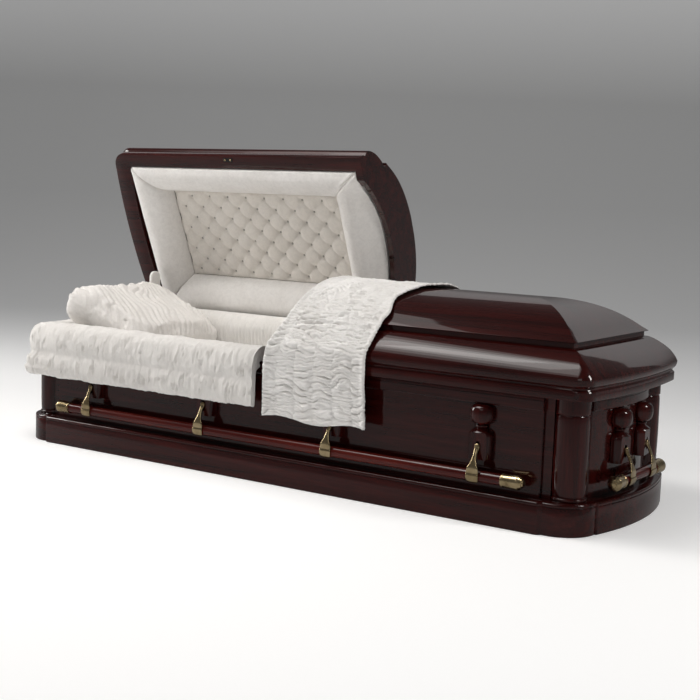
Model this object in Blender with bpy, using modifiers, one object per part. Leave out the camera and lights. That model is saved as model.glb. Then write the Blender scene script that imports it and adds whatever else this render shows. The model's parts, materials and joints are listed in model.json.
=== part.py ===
# Half-couch hardwood casket with a hinged two-part lid, swing-bar handles and a padded interior.
# Metres, +Z up, head towards -X, hinges towards +Y, origin on the floor under the middle.

import math

import bmesh
import bpy
from mathutils import Matrix, Vector

for item in list(bpy.data.objects):
    bpy.data.objects.remove(item, do_unlink=True)

# Fits
GAP = 0.0003            # between pieces that touch
LID_GAP = 0.0015        # between the closed lids and the top frame

# Case, the driving sizes
PANEL_Y = 0.300
PANEL_X = 0.991
PANEL_BOW = 0.030
RECESS = 0.010
WALL = 0.025
BASE_HEIGHT = 0.088
CASE_TOP = 0.3605
RAIL_BOTTOM = CASE_TOP - 0.039
RAIL_OUT = 0.008
RAIL_IN = 0.012

# Corner columns, and the stiles that stop short of them
COLUMN_RADIUS = 0.049
COLUMN_X = PANEL_X - 0.031
COLUMN_Y = PANEL_Y - 0.045
STILE_X = COLUMN_X - 0.063
STILE_Y = COLUMN_Y - 0.051

# Base frame and floor
BASE_PROUD = 0.044
BASE_HALF_X = PANEL_X + BASE_PROUD
BASE_HALF_Y = PANEL_Y + BASE_PROUD
BASE_BOW = PANEL_BOW + 0.001
BASE_WIDTH = 0.071
PLINTH_RADIUS = 0.100
PLINTH_X = COLUMN_X - 0.028
PLINTH_Y = COLUMN_Y - 0.021
BASE_BOARD_END = PLINTH_X - 0.020
FLOOR_BOTTOM = 0.020
FLOOR_THICKNESS = 0.016
BATTEN_WIDTH = 0.120
BATTEN_X = PLINTH_X - 0.232

# Applied half-turned balusters
BALUSTER_HEIGHT = 0.1492
BALUSTER_BOTTOM = RAIL_BOTTOM - GAP - BALUSTER_HEIGHT
BALUSTER_OUTER_X = STILE_X - 0.177
BALUSTER_X = (-BALUSTER_OUTER_X, -BALUSTER_OUTER_X / 3, BALUSTER_OUTER_X / 3, BALUSTER_OUTER_X)
BALUSTER_Y = STILE_Y - 0.127
BALUSTER_RADIUS = 0.0370
BALUSTER_FLAT = 0.0260
SLOT_WIDTH = 0.013
SLOT_BOTTOM = BALUSTER_BOTTOM + 0.014
SLOT_TOP = BALUSTER_BOTTOM + 0.050
SLOT_DEPTH = 0.014

# Bars and arms
BAR_RADIUS = 0.0155
BAR_OUT = 0.0340
BAR_HALF_LONG = PANEL_X - 0.123
BAR_HALF_SHORT = STILE_Y - 0.022
TIP_LENGTH = 0.064
TIP_RADIUS = 0.0205
TIP_SOCKET = 0.014
PIVOT_OUT = 0.0270
PIVOT_Z = BALUSTER_BOTTOM + 0.037
BAR_Z = PIVOT_Z - 0.080
ARM_THICKNESS = 0.0040
ARM_SADDLE = 0.038

# Lids
SEAM_X = 0.0394
SEAM_GAP = 0.003
LID_BOTTOM = CASE_TOP + LID_GAP
LID_HALF_X = PANEL_X + 0.044
LID_HALF_Y = PANEL_Y + 0.034
LID_BOW = 0.018
LID_CORNER = 0.050
LID_WALL = 0.018
RIM_SIDE = 0.049
RIM_END = 0.067
RIM_HEIGHT = 0.022
STEP_HALF_X = LID_HALF_X - 0.0785
STEP_HALF_Y = LID_HALF_Y - 0.072
STEP_Z = LID_BOTTOM + 0.1265
CREST_HALF_X = STEP_HALF_X - 0.2429
CREST_Z = LID_BOTTOM + 0.239
CREST_DROP = 0.095
HEADER = 0.018
LEDGE = 0.008
ARCH_HALF = LID_HALF_Y - 0.076
ARCH_RISE = 0.094
HINGE_Y = LID_HALF_Y + 0.010
HINGE_Z = LID_BOTTOM
HINGE_RADIUS = 0.0045
HEAD_LID_OPEN = math.radians(67.2)

# Interior
BED_TOP = CASE_TOP - 0.0755
LINER = 0.012
LINER_GAP = 0.0006
PANEL_LINING_Z = LID_BOTTOM + 0.086


def collection(name):
    found = bpy.data.collections.get(name)
    if found is None:
        found = bpy.data.collections.new(name)
        bpy.context.scene.collection.children.link(found)
    return found


CASKET = collection("casket")
CUTTERS = collection("cutters")

LOOKS = {
    "lacquer": ((0.045, 0.008, 0.006, 1.0), 0.0, 0.12),
    "bar_wood": ((0.180, 0.030, 0.018, 1.0), 0.0, 0.15),
    "brass": ((0.60, 0.44, 0.20, 1.0), 1.0, 0.28),
    "velvet": ((0.86, 0.85, 0.82, 1.0), 0.0, 0.80),
    "raw_wood": ((0.36, 0.22, 0.13, 1.0), 0.0, 0.60),
}


def finish(name, mesh, look, hidden=False):
    item = bpy.data.objects.new(name, mesh)
    if hidden:
        CUTTERS.objects.link(item)
        item.hide_render = True
        item.display_type = "WIRE"
        return item
    CASKET.objects.link(item)
    colour, metal, rough = LOOKS[look]
    material = bpy.data.materials.new(name + "_material")
    material.use_nodes = True
    shader = material.node_tree.nodes["Principled BSDF"]
    shader.inputs["Base Color"].default_value = colour
    shader.inputs["Metallic"].default_value = metal
    shader.inputs["Roughness"].default_value = rough
    item.data.materials.append(material)
    return item


def loft(name, rings, look, around=False, hidden=False):
    """Skin between rings of equal length. The run of rings closes on itself, or ends in two flat caps."""
    made = bmesh.new()
    rows = [[made.verts.new(point) for point in ring] for ring in rings]
    count = len(rows[0])
    pairs = list(zip(rows, rows[1:]))
    if around:
        pairs.append((rows[-1], rows[0]))
    for low, high in pairs:
        for i in range(count):
            j = (i + 1) % count
            made.faces.new((low[i], low[j], high[j], high[i]))
    if not around:
        made.faces.new(list(reversed(rows[0])))
        made.faces.new(rows[-1])
    bmesh.ops.recalc_face_normals(made, faces=made.faces)
    mesh = bpy.data.meshes.new(name)
    made.to_mesh(mesh)
    made.free()
    return finish(name, mesh, look, hidden)


def lathe(name, profile, look, steps=16, hidden=False, flip=False):
    """Turns a profile of (radius, height) pairs about Z with the Screw modifier."""
    mesh = bpy.data.meshes.new(name)
    points = [(radius, 0.0, height) for radius, height in profile]
    mesh.from_pydata(points, [(i, i + 1) for i in range(len(points) - 1)], [])
    item = finish(name, mesh, look, hidden)
    screw = item.modifiers.new("turn", "SCREW")
    screw.axis = "Z"
    screw.steps = steps
    screw.render_steps = steps
    screw.use_merge_vertices = True
    screw.merge_threshold = 0.00001
    screw.use_normal_calculate = True
    screw.use_normal_flip = flip
    return item


def box(name, low, high, look, hidden=False, bevel=0.0, segments=1):
    made = bmesh.new()
    bmesh.ops.create_cube(made, size=1.0)
    size = [b - a for a, b in zip(low, high)]
    middle = [(a + b) / 2 for a, b in zip(low, high)]
    bmesh.ops.scale(made, vec=size, verts=made.verts)
    bmesh.ops.translate(made, vec=middle, verts=made.verts)
    mesh = bpy.data.meshes.new(name)
    made.to_mesh(mesh)
    made.free()
    item = finish(name, mesh, look, hidden)
    if bevel:
        edge = item.modifiers.new("edge", "BEVEL")
        edge.width = bevel
        edge.segments = segments
    return item


def cut(item, cutter, mode="DIFFERENCE"):
    step = item.modifiers.new(cutter.name, "BOOLEAN")
    step.operation = mode
    step.object = cutter
    step.solver = "EXACT"
    return item


def baked(item):
    """The item's mesh with its modifiers worked out, in its own coordinates."""
    bpy.context.view_layer.update()
    graph = bpy.context.evaluated_depsgraph_get()
    return bpy.data.meshes.new_from_object(item.evaluated_get(graph))


def four_fold(quarter):
    """Copies a quarter plan, running from the front side to the right-hand end, into all four quarters."""
    back = [(x, -y) for x, y in reversed(quarter)]
    right = quarter + [point for point in back if abs(point[1]) > 1e-9]
    left = [(-x, -y) for x, y in right]
    return right + left


def at_height(plan, z):
    return [(x, y, z) for x, y in plan]


# Base frame with its rounded corner plinths, plain boards under one small bead all round
def base_plan(inset):
    half_y = BASE_HALF_Y - inset
    radius = PLINTH_RADIUS - inset
    quarter = [(BASE_BOARD_END, -half_y)]
    quarter.append((BASE_BOARD_END + 0.011, -half_y + 0.011))
    for i in range(6):
        turn = math.radians(-90 + 18 * i)
        quarter.append((PLINTH_X + radius * math.cos(turn), -PLINTH_Y + radius * math.sin(turn)))
    half_x = BASE_HALF_X - inset
    quarter.append((half_x + 0.002, -PLINTH_Y + 0.002))
    for part in (0.66, 0.33, 0.0):
        quarter.append((half_x + 0.002 + BASE_BOW * (1 - part * part), -PLINTH_Y * part))
    return four_fold(quarter)


BASE_PROFILE = [
    (0.0020, 0.0000),
    (0.0000, 0.0020),
    (0.0000, BASE_HEIGHT - 0.0125),
    (0.0016, BASE_HEIGHT - 0.0112),
    (0.0002, BASE_HEIGHT - 0.0085),
    (0.0014, BASE_HEIGHT - 0.0030),
    (0.0060, BASE_HEIGHT),
    (BASE_WIDTH, BASE_HEIGHT),
    (BASE_WIDTH, 0.0000),
]
base_rings = [at_height(base_plan(inset), z) for inset, z in BASE_PROFILE]
loft("base_frame", base_rings, "lacquer", around=True)

# Floor board with three cross battens glued under it
floor_plan = base_plan(BASE_WIDTH + GAP)
floor = loft(
    "floor",
    [at_height(floor_plan, FLOOR_BOTTOM), at_height(floor_plan, FLOOR_BOTTOM + FLOOR_THICKNESS)],
    "raw_wood",
)
batten_half_y = BASE_HALF_Y - BASE_WIDTH - 0.012
for index, middle in enumerate((-BATTEN_X, 0.0, BATTEN_X)):
    low = (middle - BATTEN_WIDTH / 2, -batten_half_y, 0.0)
    high = (middle + BATTEN_WIDTH / 2, batten_half_y, FLOOR_BOTTOM + 0.004)
    cut(floor, box("batten_" + str(index), low, high, "raw_wood", hidden=True), "UNION")


# Case walls and top frame, notched round the corner columns
def case_plans(out, thickness):
    """Outer and inner plan of the case, with as many points in each."""
    face_y = PANEL_Y + out
    face_x = PANEL_X + out
    step_y = PANEL_Y - RECESS
    step_x = PANEL_X - RECESS
    reach = (COLUMN_RADIUS + GAP) / math.cos(math.radians(11.5))
    side = math.asin((step_y - COLUMN_Y) / reach)
    end = math.asin((step_x - COLUMN_X) / reach)
    outer = [(STILE_X, -face_y), (STILE_X, -step_y)]
    for i in range(9):
        turn = (math.pi + side) + (math.pi / 2 - end - math.pi - side) * i / 8
        outer.append((COLUMN_X + reach * math.cos(turn), -COLUMN_Y + reach * math.sin(turn)))
    outer.append((step_x, -STILE_Y))
    outer.append((face_x, -STILE_Y))
    for part in (0.66, 0.33, 0.0):
        outer.append((face_x + PANEL_BOW * (1 - part * part), -STILE_Y * part))
    in_y = PANEL_Y - thickness
    in_x = PANEL_X - thickness
    reach_in = COLUMN_RADIUS + 0.018 + thickness - WALL
    middle = (COLUMN_X - reach_in * math.sqrt(0.5), -COLUMN_Y + reach_in * math.sqrt(0.5))
    first = (middle[0] - (in_y + middle[1]), -in_y)
    last = (in_x, middle[1] + (in_x - middle[0]))
    inner = [(first[0] - 0.030, -in_y), (first[0] - 0.015, -in_y)]
    for i in range(9):
        share = i / 8
        inner.append((first[0] + (last[0] - first[0]) * share, first[1] + (last[1] - first[1]) * share))
    for share in (0.92, 0.80, 0.55, 0.28, 0.0):
        y = last[1] * share
        inner.append((in_x + PANEL_BOW * (1 - share * share), y))
    return four_fold(outer), four_fold(inner)


wall_low = BASE_HEIGHT + GAP
wall_high = RAIL_BOTTOM
wall_out, wall_in = case_plans(0.0, WALL)
wall_rings = [at_height(wall_out, wall_low), at_height(wall_out, wall_high)]
wall_rings += [at_height(wall_in, wall_high), at_height(wall_in, wall_low)]
loft("case_walls", wall_rings, "lacquer", around=True)

rail_out, rail_in = case_plans(RAIL_OUT, WALL + RAIL_IN)
rail_soft = case_plans(RAIL_OUT - 0.003, WALL + RAIL_IN)[0]
frame_rings = [at_height(rail_soft, RAIL_BOTTOM + GAP), at_height(rail_out, RAIL_BOTTOM + 0.0035)]
frame_rings += [at_height(rail_out, CASE_TOP - 0.004), at_height(rail_soft, CASE_TOP)]
frame_rings += [at_height(rail_in, CASE_TOP), at_height(rail_in, RAIL_BOTTOM + GAP)]
loft("top_frame", frame_rings, "lacquer", around=True)

# Corner columns
COLUMN_PROFILE = [
    (0.0000, BASE_HEIGHT + GAP),
    (COLUMN_RADIUS, BASE_HEIGHT + GAP),
    (COLUMN_RADIUS, BASE_HEIGHT + 0.0085),
    (0.0455, BASE_HEIGHT + 0.0120),
    (0.0480, (BASE_HEIGHT + RAIL_BOTTOM) / 2),
    (0.0460, RAIL_BOTTOM - 0.0055),
    (0.0430, RAIL_BOTTOM - 0.0025),
    (0.0470, RAIL_BOTTOM + 0.0005),
    (0.0470, CASE_TOP),
    (0.0000, CASE_TOP),
]
for name, sx, sy in (("foot_front", 1, -1), ("foot_back", 1, 1), ("head_front", -1, -1), ("head_back", -1, 1)):
    column = lathe("column_" + name, COLUMN_PROFILE, "lacquer", steps=12)
    column.location = (sx * COLUMN_X, sy * COLUMN_Y, 0.0)

# Balusters, one turned pattern cut flat at the back, planed in front and slotted for the arm
BALUSTER_PROFILE = [
    (0.0000, BALUSTER_BOTTOM),
    (BALUSTER_RADIUS, BALUSTER_BOTTOM),
    (BALUSTER_RADIUS, BALUSTER_BOTTOM + 0.0620),
    (0.0320, BALUSTER_BOTTOM + 0.0760),
    (0.0170, BALUSTER_BOTTOM + 0.0870),
    (0.0165, BALUSTER_BOTTOM + 0.0940),
    (0.0300, BALUSTER_BOTTOM + 0.0995),
    (0.0375, BALUSTER_BOTTOM + 0.1230),
    (0.0300, BALUSTER_BOTTOM + 0.1430),
    (0.0000, RAIL_BOTTOM - GAP),
]
pattern = lathe("baluster_pattern", BALUSTER_PROFILE, "lacquer", steps=12, hidden=True)
CUT_LOW = BALUSTER_BOTTOM - 0.020
plane_top = BALUSTER_BOTTOM + 0.074
plane_cut = box("plane_cut", (-0.06, -0.06, CUT_LOW), (0.06, -BALUSTER_FLAT, plane_top), "lacquer", hidden=True)
back_cut = box("back_cut", (-0.06, -GAP, CUT_LOW), (0.06, 0.06, RAIL_BOTTOM + 0.020), "lacquer", hidden=True)
slot_plan = []
for i in range(5):
    turn = math.radians(45 * i)
    slot_plan.append((SLOT_WIDTH / 2 * math.cos(turn), SLOT_TOP - SLOT_WIDTH / 2 + SLOT_WIDTH / 2 * math.sin(turn)))
slot_plan += [(-SLOT_WIDTH / 2, SLOT_BOTTOM), (SLOT_WIDTH / 2, SLOT_BOTTOM)]
slot_rings = [[(x, y, z) for x, z in slot_plan] for y in (-0.06, -BALUSTER_FLAT + SLOT_DEPTH)]
slot_cut = loft("slot_cut", slot_rings, "lacquer", hidden=True)
for cutter in (plane_cut, slot_cut, back_cut):
    cut(pattern, cutter)
baluster_mesh = baked(pattern)


def face_offset(y):
    """How far the bowed end panel stands out at this depth."""
    return PANEL_X + PANEL_BOW * (1 - (y / STILE_Y) ** 2)


def place_side(x, sy):
    turn = 0.0 if sy < 0 else math.pi
    return Matrix.Translation((x, sy * (PANEL_Y + GAP), 0.0)) @ Matrix.Rotation(turn, 4, "Z")


def place_end(y, sx):
    lean = math.atan(2 * PANEL_BOW * y / STILE_Y ** 2)
    turn = math.pi / 2 + lean if sx > 0 else -math.pi / 2 - lean
    return Matrix.Translation((sx * (face_offset(y) + 0.0008), y, 0.0)) @ Matrix.Rotation(turn, 4, "Z")


def copied(name, mesh, look, matrix):
    own = mesh.copy()
    own.materials.clear()
    own.transform(matrix)
    return finish(name, own, look)


for side, sy in (("front", -1), ("back", 1)):
    for index, x in enumerate(BALUSTER_X):
        copied("baluster_" + side + "_" + str(index + 1), baluster_mesh, "lacquer", place_side(x, sy))
for side, sx in (("head", -1), ("foot", 1)):
    for index, y in enumerate((-BALUSTER_Y, BALUSTER_Y)):
        copied("baluster_" + side + "_" + str(index + 1), baluster_mesh, "lacquer", place_end(y, sx))

# Swing handles, drawn in a frame whose origin is the pivot line, X along the bar and -Y outwards
DROP = PIVOT_Z - BAR_Z
REACH = BAR_OUT - PIVOT_OUT
WRAP = BAR_RADIUS + 0.0012 + ARM_THICKNESS / 2
ARM_PATH = [
    (0.0000, 0.0062, 0.0070, 0.0070),
    (-0.0010, -0.0060, 0.0070, 0.0080),
    (-0.0070, -0.0200, 0.0070, 0.0050),
    (-0.0150, -0.0400, 0.0090, ARM_THICKNESS),
    (-0.0220, -0.0560, 0.0180, ARM_THICKNESS),
]
for degrees, width in ((20, ARM_SADDLE), (-15, 0.036), (-50, 0.026), (-82, 0.010)):
    turn = math.radians(degrees)
    ARM_PATH.append((-REACH - WRAP * math.cos(turn), -DROP + WRAP * math.sin(turn), width, ARM_THICKNESS))


def arm_rings():
    """Six-sided sections along the arm's centre line, each square to the line."""
    rings = []
    for i, (y, z, width, thick) in enumerate(ARM_PATH):
        before = ARM_PATH[max(i - 1, 0)]
        after = ARM_PATH[min(i + 1, len(ARM_PATH) - 1)]
        along = Vector((0.0, after[0] - before[0], after[1] - before[1])).normalized()
        across = Vector((1.0, 0.0, 0.0)).cross(along).normalized()
        middle = Vector((0.0, y, z))
        ring = []
        for side, depth in ((-0.5, 0.0), (-0.3, -0.5), (0.3, -0.5), (0.5, 0.0), (0.3, 0.5), (-0.3, 0.5)):
            point = middle + Vector((side * width, 0.0, 0.0)) + across * (depth * thick)
            ring.append(tuple(point))
        rings.append(ring)
    return rings


arm_pattern = loft("arm_pattern", arm_rings(), "brass", hidden=True)
TIP_PROFILE = [
    (0.0000, -0.0010),
    (BAR_RADIUS + 0.0025, -0.0010),
    (BAR_RADIUS + 0.0025, 0.0060),
    (TIP_RADIUS, 0.0440),
    (TIP_RADIUS, 0.0500),
    (0.0120, TIP_LENGTH),
    (0.0000, TIP_LENGTH),
]
tip_pattern = lathe("tip_pattern", TIP_PROFILE, "brass", steps=8, hidden=True)
tip_bore = lathe(
    "tip_bore",
    [(0.0, TIP_SOCKET), (BAR_RADIUS + GAP, TIP_SOCKET), (BAR_RADIUS + GAP, -0.02), (0.0, -0.02)],
    "brass",
    steps=12,
    hidden=True,
    flip=True,
)
cut(tip_pattern, tip_bore)
tip_mesh = baked(tip_pattern)
arm_mesh = baked(arm_pattern)


def handle(side, frame, half, places):
    """One bar with its tips and arms. The frame puts the pivot line at its origin."""
    bar = bpy.data.meshes.new("bar")
    made = bmesh.new()
    length = 2 * (half - TIP_LENGTH + TIP_SOCKET - GAP)
    bmesh.ops.create_cone(
        made, cap_ends=True, segments=12, radius1=BAR_RADIUS, radius2=BAR_RADIUS, depth=length,
    )
    made.to_mesh(bar)
    made.free()
    centre = Matrix.Translation((0.0, -REACH, -DROP))
    along = Matrix.Rotation(math.pi / 2, 4, "Y")
    items = []
    items.append((bar, "bar_" + side, "bar_wood", centre @ along))
    shift = Matrix.Translation((0.0, 0.0, half - TIP_LENGTH))
    items.append((tip_mesh, "tip_" + side + "_1", "brass", centre @ Matrix.Rotation(-math.pi / 2, 4, "Y") @ shift))
    items.append((tip_mesh, "tip_" + side + "_2", "brass", centre @ along @ shift))
    for index, x in enumerate(places):
        items.append((arm_mesh, "arm_" + side + "_" + str(index + 1), "brass", Matrix.Translation((x, 0.0, 0.0))))
    for mesh, name, look, local in items:
        own = mesh.copy()
        own.materials.clear()
        own.transform(frame.to_3x3().to_4x4() @ local)
        item = finish(name, own, look)
        item.location = frame.to_translation()


pivot_y = PANEL_Y + GAP + PIVOT_OUT
pivot_x = face_offset(BALUSTER_Y) + 0.0008 + PIVOT_OUT
handle("front", Matrix.Translation((0.0, -pivot_y, PIVOT_Z)), BAR_HALF_LONG, BALUSTER_X)
turned = Matrix.Rotation(math.pi, 4, "Z")
handle("back", Matrix.Translation((0.0, pivot_y, PIVOT_Z)) @ turned, BAR_HALF_LONG, BALUSTER_X)
turned = Matrix.Rotation(math.pi / 2, 4, "Z")
ends = (-BALUSTER_Y, BALUSTER_Y)
handle("foot", Matrix.Translation((pivot_x, 0.0, PIVOT_Z)) @ turned, BAR_HALF_SHORT, ends)
turned = Matrix.Rotation(-math.pi / 2, 4, "Z")
handle("head", Matrix.Translation((-pivot_x, 0.0, PIVOT_Z)) @ turned, BAR_HALF_SHORT, ends)


# Lids, each a moulded two-tier crown on a rim frame with an arched header at the split
def lid_plan(cut_x, half_x, half_y, radius, bow):
    """Plan of one lid, from the split to its bowed outer end."""
    plan = [(cut_x, -half_y)]
    for i in range(4):
        turn = math.radians(-90 + 30 * i)
        plan.append((half_x - radius + radius * math.cos(turn), -half_y + radius + radius * math.sin(turn)))
    reach = half_y - radius
    for part in (-0.66, -0.33, 0.0, 0.33, 0.66):
        plan.append((half_x + bow * (1 - part * part), reach * part))
    for i in range(4):
        turn = math.radians(30 * i)
        plan.append((half_x - radius + radius * math.cos(turn), half_y - radius + radius * math.sin(turn)))
    plan.append((cut_x, half_y))
    return plan


def crown(half_y):
    """Half length and height of the upper tier where it is this deep."""
    share = half_y / STEP_HALF_Y
    half_x = CREST_HALF_X + (STEP_HALF_X - CREST_HALF_X) * share
    height = CREST_Z - CREST_DROP * (0.72 * share ** 2 + 0.28 * share ** 4)
    return half_x, height


# Rows say how far the surface stands out from the rim, the corner's radius, the bow and the rise
INNER_ROWS = (
    (-0.063, -0.058, 0.006, 0.004, 0.0960),
    (-0.030, -0.029, 0.025, 0.012, 0.0660),
    (-0.023, -0.022, 0.030, 0.016, RIM_HEIGHT),
)
OUTER_ROWS = (
    (-0.002, -0.002, LID_CORNER, LID_BOW, 0.0000),
    (0.000, 0.000, LID_CORNER, LID_BOW, 0.0030),
    (0.000, 0.000, LID_CORNER, LID_BOW, 0.0260),
    (-0.005, -0.005, LID_CORNER - 0.002, LID_BOW, 0.0300),
    (-0.004, -0.004, LID_CORNER - 0.004, LID_BOW, 0.0360),
    (0.002, 0.002, LID_CORNER - 0.006, LID_BOW, 0.0440),
    (0.003, 0.003, LID_CORNER - 0.010, LID_BOW, 0.0560),
    (-0.011, -0.009, 0.028, 0.014, 0.0780),
    (-0.039, -0.035, 0.010, 0.008, 0.1060),
    (-0.067, -0.062, 0.004, 0.003, 0.1240),
    (-0.084, -0.078, 0.003, 0.000, STEP_Z - LID_BOTTOM + 0.0010),
    (-0.084, -0.078, 0.003, 0.000, 0.1395),
    (-0.076, -0.070, 0.003, 0.000, 0.1430),
)


def lid_row(cut_x, grow_x, grow_y, radius, bow, rise):
    plan = lid_plan(cut_x, LID_HALF_X + grow_x, LID_HALF_Y + grow_y, radius, bow)
    return at_height(plan, LID_BOTTOM + rise)


def lid_rings(cut_x):
    rings = []
    inner = cut_x + HEADER
    for share in (0.134, 0.344, 0.573, 0.782, 0.916):
        half_y = STEP_HALF_Y * share
        half_x, height = crown(half_y)
        plan = lid_plan(inner, half_x - 0.010, half_y, 0.003, 0.0)
        rings.append(at_height(plan, height - LID_WALL - 0.004 * share))
    for row in INNER_ROWS:
        rings.append(lid_row(inner, *row))
    for rise in (RIM_HEIGHT, 0.0):
        rings.append(lid_row(inner + LEDGE, -RIM_END, -RIM_SIDE, 0.020, LID_BOW, rise))
    for row in OUTER_ROWS:
        rings.append(lid_row(cut_x, *row))
    for share in (0.859, 0.687, 0.496, 0.305, 0.134):
        half_y = STEP_HALF_Y * share
        half_x, height = crown(half_y)
        rings.append(at_height(lid_plan(cut_x, half_x, half_y, 0.003, 0.0), height))
    return rings


def arch_cutter(name, low_x, high_x):
    radius = (ARCH_HALF ** 2 + ARCH_RISE ** 2) / (2 * ARCH_RISE)
    spread = math.asin(ARCH_HALF / radius)
    plan = [(-ARCH_HALF, LID_BOTTOM - 0.020), (ARCH_HALF, LID_BOTTOM - 0.020)]
    for i in range(11):
        turn = spread * (1 - i / 5)
        plan.append((radius * math.sin(turn), LID_BOTTOM - 0.001 + ARCH_RISE - radius + radius * math.cos(turn)))
    rings = [[(x, y, z) for y, z in plan] for x in (low_x, high_x)]
    return loft(name, rings, "lacquer", hidden=True)


def lid(name, cut_x, mirrored):
    shell = loft(name, lid_rings(cut_x), "lacquer")
    cutter = arch_cutter(name + "_arch", cut_x - 0.02, cut_x + HEADER + LEDGE + 0.004)
    cut(shell, cutter)
    mesh = baked(shell)
    if mirrored:
        mesh.transform(Matrix.Scale(-1.0, 4, Vector((1.0, 0.0, 0.0))))
        mesh.flip_normals()
    old = shell.data
    shell.modifiers.clear()
    shell.data = mesh
    bpy.data.meshes.remove(old)
    return shell


def hinged(item, angle):
    """Moves the item's origin to the hinge line and swings it open by this angle."""
    pivot = Vector((0.0, HINGE_Y, HINGE_Z))
    item.data.transform(Matrix.Translation(-pivot))
    item.location = pivot
    item.rotation_euler = (-angle, 0.0, 0.0)
    return item


hinged(lid("foot_lid", SEAM_X + SEAM_GAP / 2, False), 0.0)
hinged(lid("head_lid", -(SEAM_X - SEAM_GAP / 2), True), HEAD_LID_OPEN)

# Hinge barrels along the back of the top frame
for name, low, high in (("head_hinge", -0.860, SEAM_X - 0.020), ("foot_hinge", SEAM_X + 0.020, 0.860)):
    rings = []
    for x in (low, high):
        ring = [(x, PANEL_Y + RAIL_OUT + GAP, HINGE_Z - 0.020), (x, HINGE_Y, HINGE_Z - 0.0065)]
        for i in range(5):
            turn = math.radians(-60 + 45 * i)
            ring.append((x, HINGE_Y + HINGE_RADIUS * math.cos(turn), HINGE_Z - 0.002 + HINGE_RADIUS * math.sin(turn)))
        ring.append((x, LID_HALF_Y + 0.0062, HINGE_Z - 0.003))
        ring.append((x, PANEL_Y + RAIL_OUT + GAP, HINGE_Z - 0.008))
        rings.append(ring)
    loft(name, rings, "brass")

# Head lid lining, four mitred bolsters round a tufted panel, drawn closed and then swung open
LINING_GAP = 0.0065
LINING_LOW_X = -(LID_HALF_X - RIM_END - LINING_GAP)
LINING_HIGH_X = SEAM_X - HEADER - LEDGE - 0.0024
LINING_HALF_Y = LID_HALF_Y - RIM_SIDE - LINING_GAP
TUFT_LOW_X = LINING_LOW_X + 0.105
TUFT_HIGH_X = LINING_HIGH_X - 0.137
TUFT_HALF_Y = LINING_HALF_Y - 0.112


def lining_ring(share, z):
    low = LINING_LOW_X + (TUFT_LOW_X - LINING_LOW_X) * share
    high = LINING_HIGH_X + (TUFT_HIGH_X - LINING_HIGH_X) * share
    half = LINING_HALF_Y + (TUFT_HALF_Y - LINING_HALF_Y) * share
    return [(low, -half, z), (high, -half, z), (high, half, z), (low, half, z)]


BOLSTER = (
    (0.00, 0.0240), (0.08, 0.0070), (0.25, -0.0020), (0.50, 0.0030), (0.80, 0.0260), (0.96, 0.0560),
    (1.00, PANEL_LINING_Z - LID_BOTTOM), (0.60, PANEL_LINING_Z - LID_BOTTOM + 0.004), (0.25, 0.0560), (0.02, 0.0400),
)
bolster_rings = [lining_ring(share, LID_BOTTOM + rise) for share, rise in BOLSTER]
bolsters = loft("head_lid_bolsters", bolster_rings, "velvet", around=True)
hinged(bolsters, HEAD_LID_OPEN)
tuft_rings = [lining_ring(1.01, PANEL_LINING_Z - 0.010), lining_ring(1.01, PANEL_LINING_Z - 0.002)]
tufted = loft("head_lid_tufted_panel", tuft_rings, "velvet")
hinged(tufted, HEAD_LID_OPEN)

# Foot lid lining, a plain padded panel across the opening
lining_low = (SEAM_X + 0.030, -LID_HALF_Y + RIM_SIDE + 0.006, LID_BOTTOM + RIM_HEIGHT + 0.006)
lining_high = (LID_HALF_X - RIM_END - 0.013, LID_HALF_Y - RIM_SIDE - 0.006, LID_BOTTOM + RIM_HEIGHT + 0.018)
foot_lining = box("foot_lid_lining", lining_low, lining_high, "velvet", bevel=0.004)
hinged(foot_lining, 0.0)

# Interior
def interior_plan(inset):
    return case_plans(RAIL_OUT, WALL + RAIL_IN + LINER_GAP + inset)[1]


lining_bottom = FLOOR_BOTTOM + FLOOR_THICKNESS + GAP
liner_rings = [at_height(interior_plan(0.0), lining_bottom), at_height(interior_plan(0.0), CASE_TOP - 0.002)]
liner_rings.append(at_height(interior_plan(LINER), CASE_TOP - 0.002))
liner_rings.append(at_height(interior_plan(LINER), lining_bottom))
loft("interior_lining", liner_rings, "velvet", around=True)

bed_plan = interior_plan(LINER + 0.001)
bed_rings = [at_height(bed_plan, lining_bottom), at_height(bed_plan, BED_TOP - 0.02)]
bed_rings.append(at_height(interior_plan(LINER + 0.016), BED_TOP))
loft("mattress", bed_rings, "velvet")

# Roll of the lining that stands up behind the bed and covers the open lid's rim
roll_y = PANEL_Y - WALL - RAIL_IN
ROLL_SECTION = (
    (roll_y - 0.026, 0.0012), (roll_y - 0.027, 0.0240), (roll_y - 0.018, 0.0500), (roll_y, 0.0680),
    (roll_y + 0.024, 0.0710), (roll_y + 0.040, 0.0630), (roll_y + 0.046, 0.0400), (roll_y + 0.048, 0.0045),
    (roll_y + 0.040, 0.0012),
)
roll_ends = (-STILE_X + 0.030, SEAM_X - 0.010)
roll_rings = [[(x, y, CASE_TOP + rise) for y, rise in ROLL_SECTION] for x in roll_ends]
loft("interior_roll", roll_rings, "velvet")

# Pillow, raised at the head end
PILLOW_HALF_X = 0.215
PILLOW_HALF_Y = PANEL_Y - 0.065
PILLOW_HALF_Z = 0.055
PILLOW_TILT = math.radians(20)
PILLOW_CENTRE = (-(PANEL_X - 0.226), 0.0, CASE_TOP + 0.0375)


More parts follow.
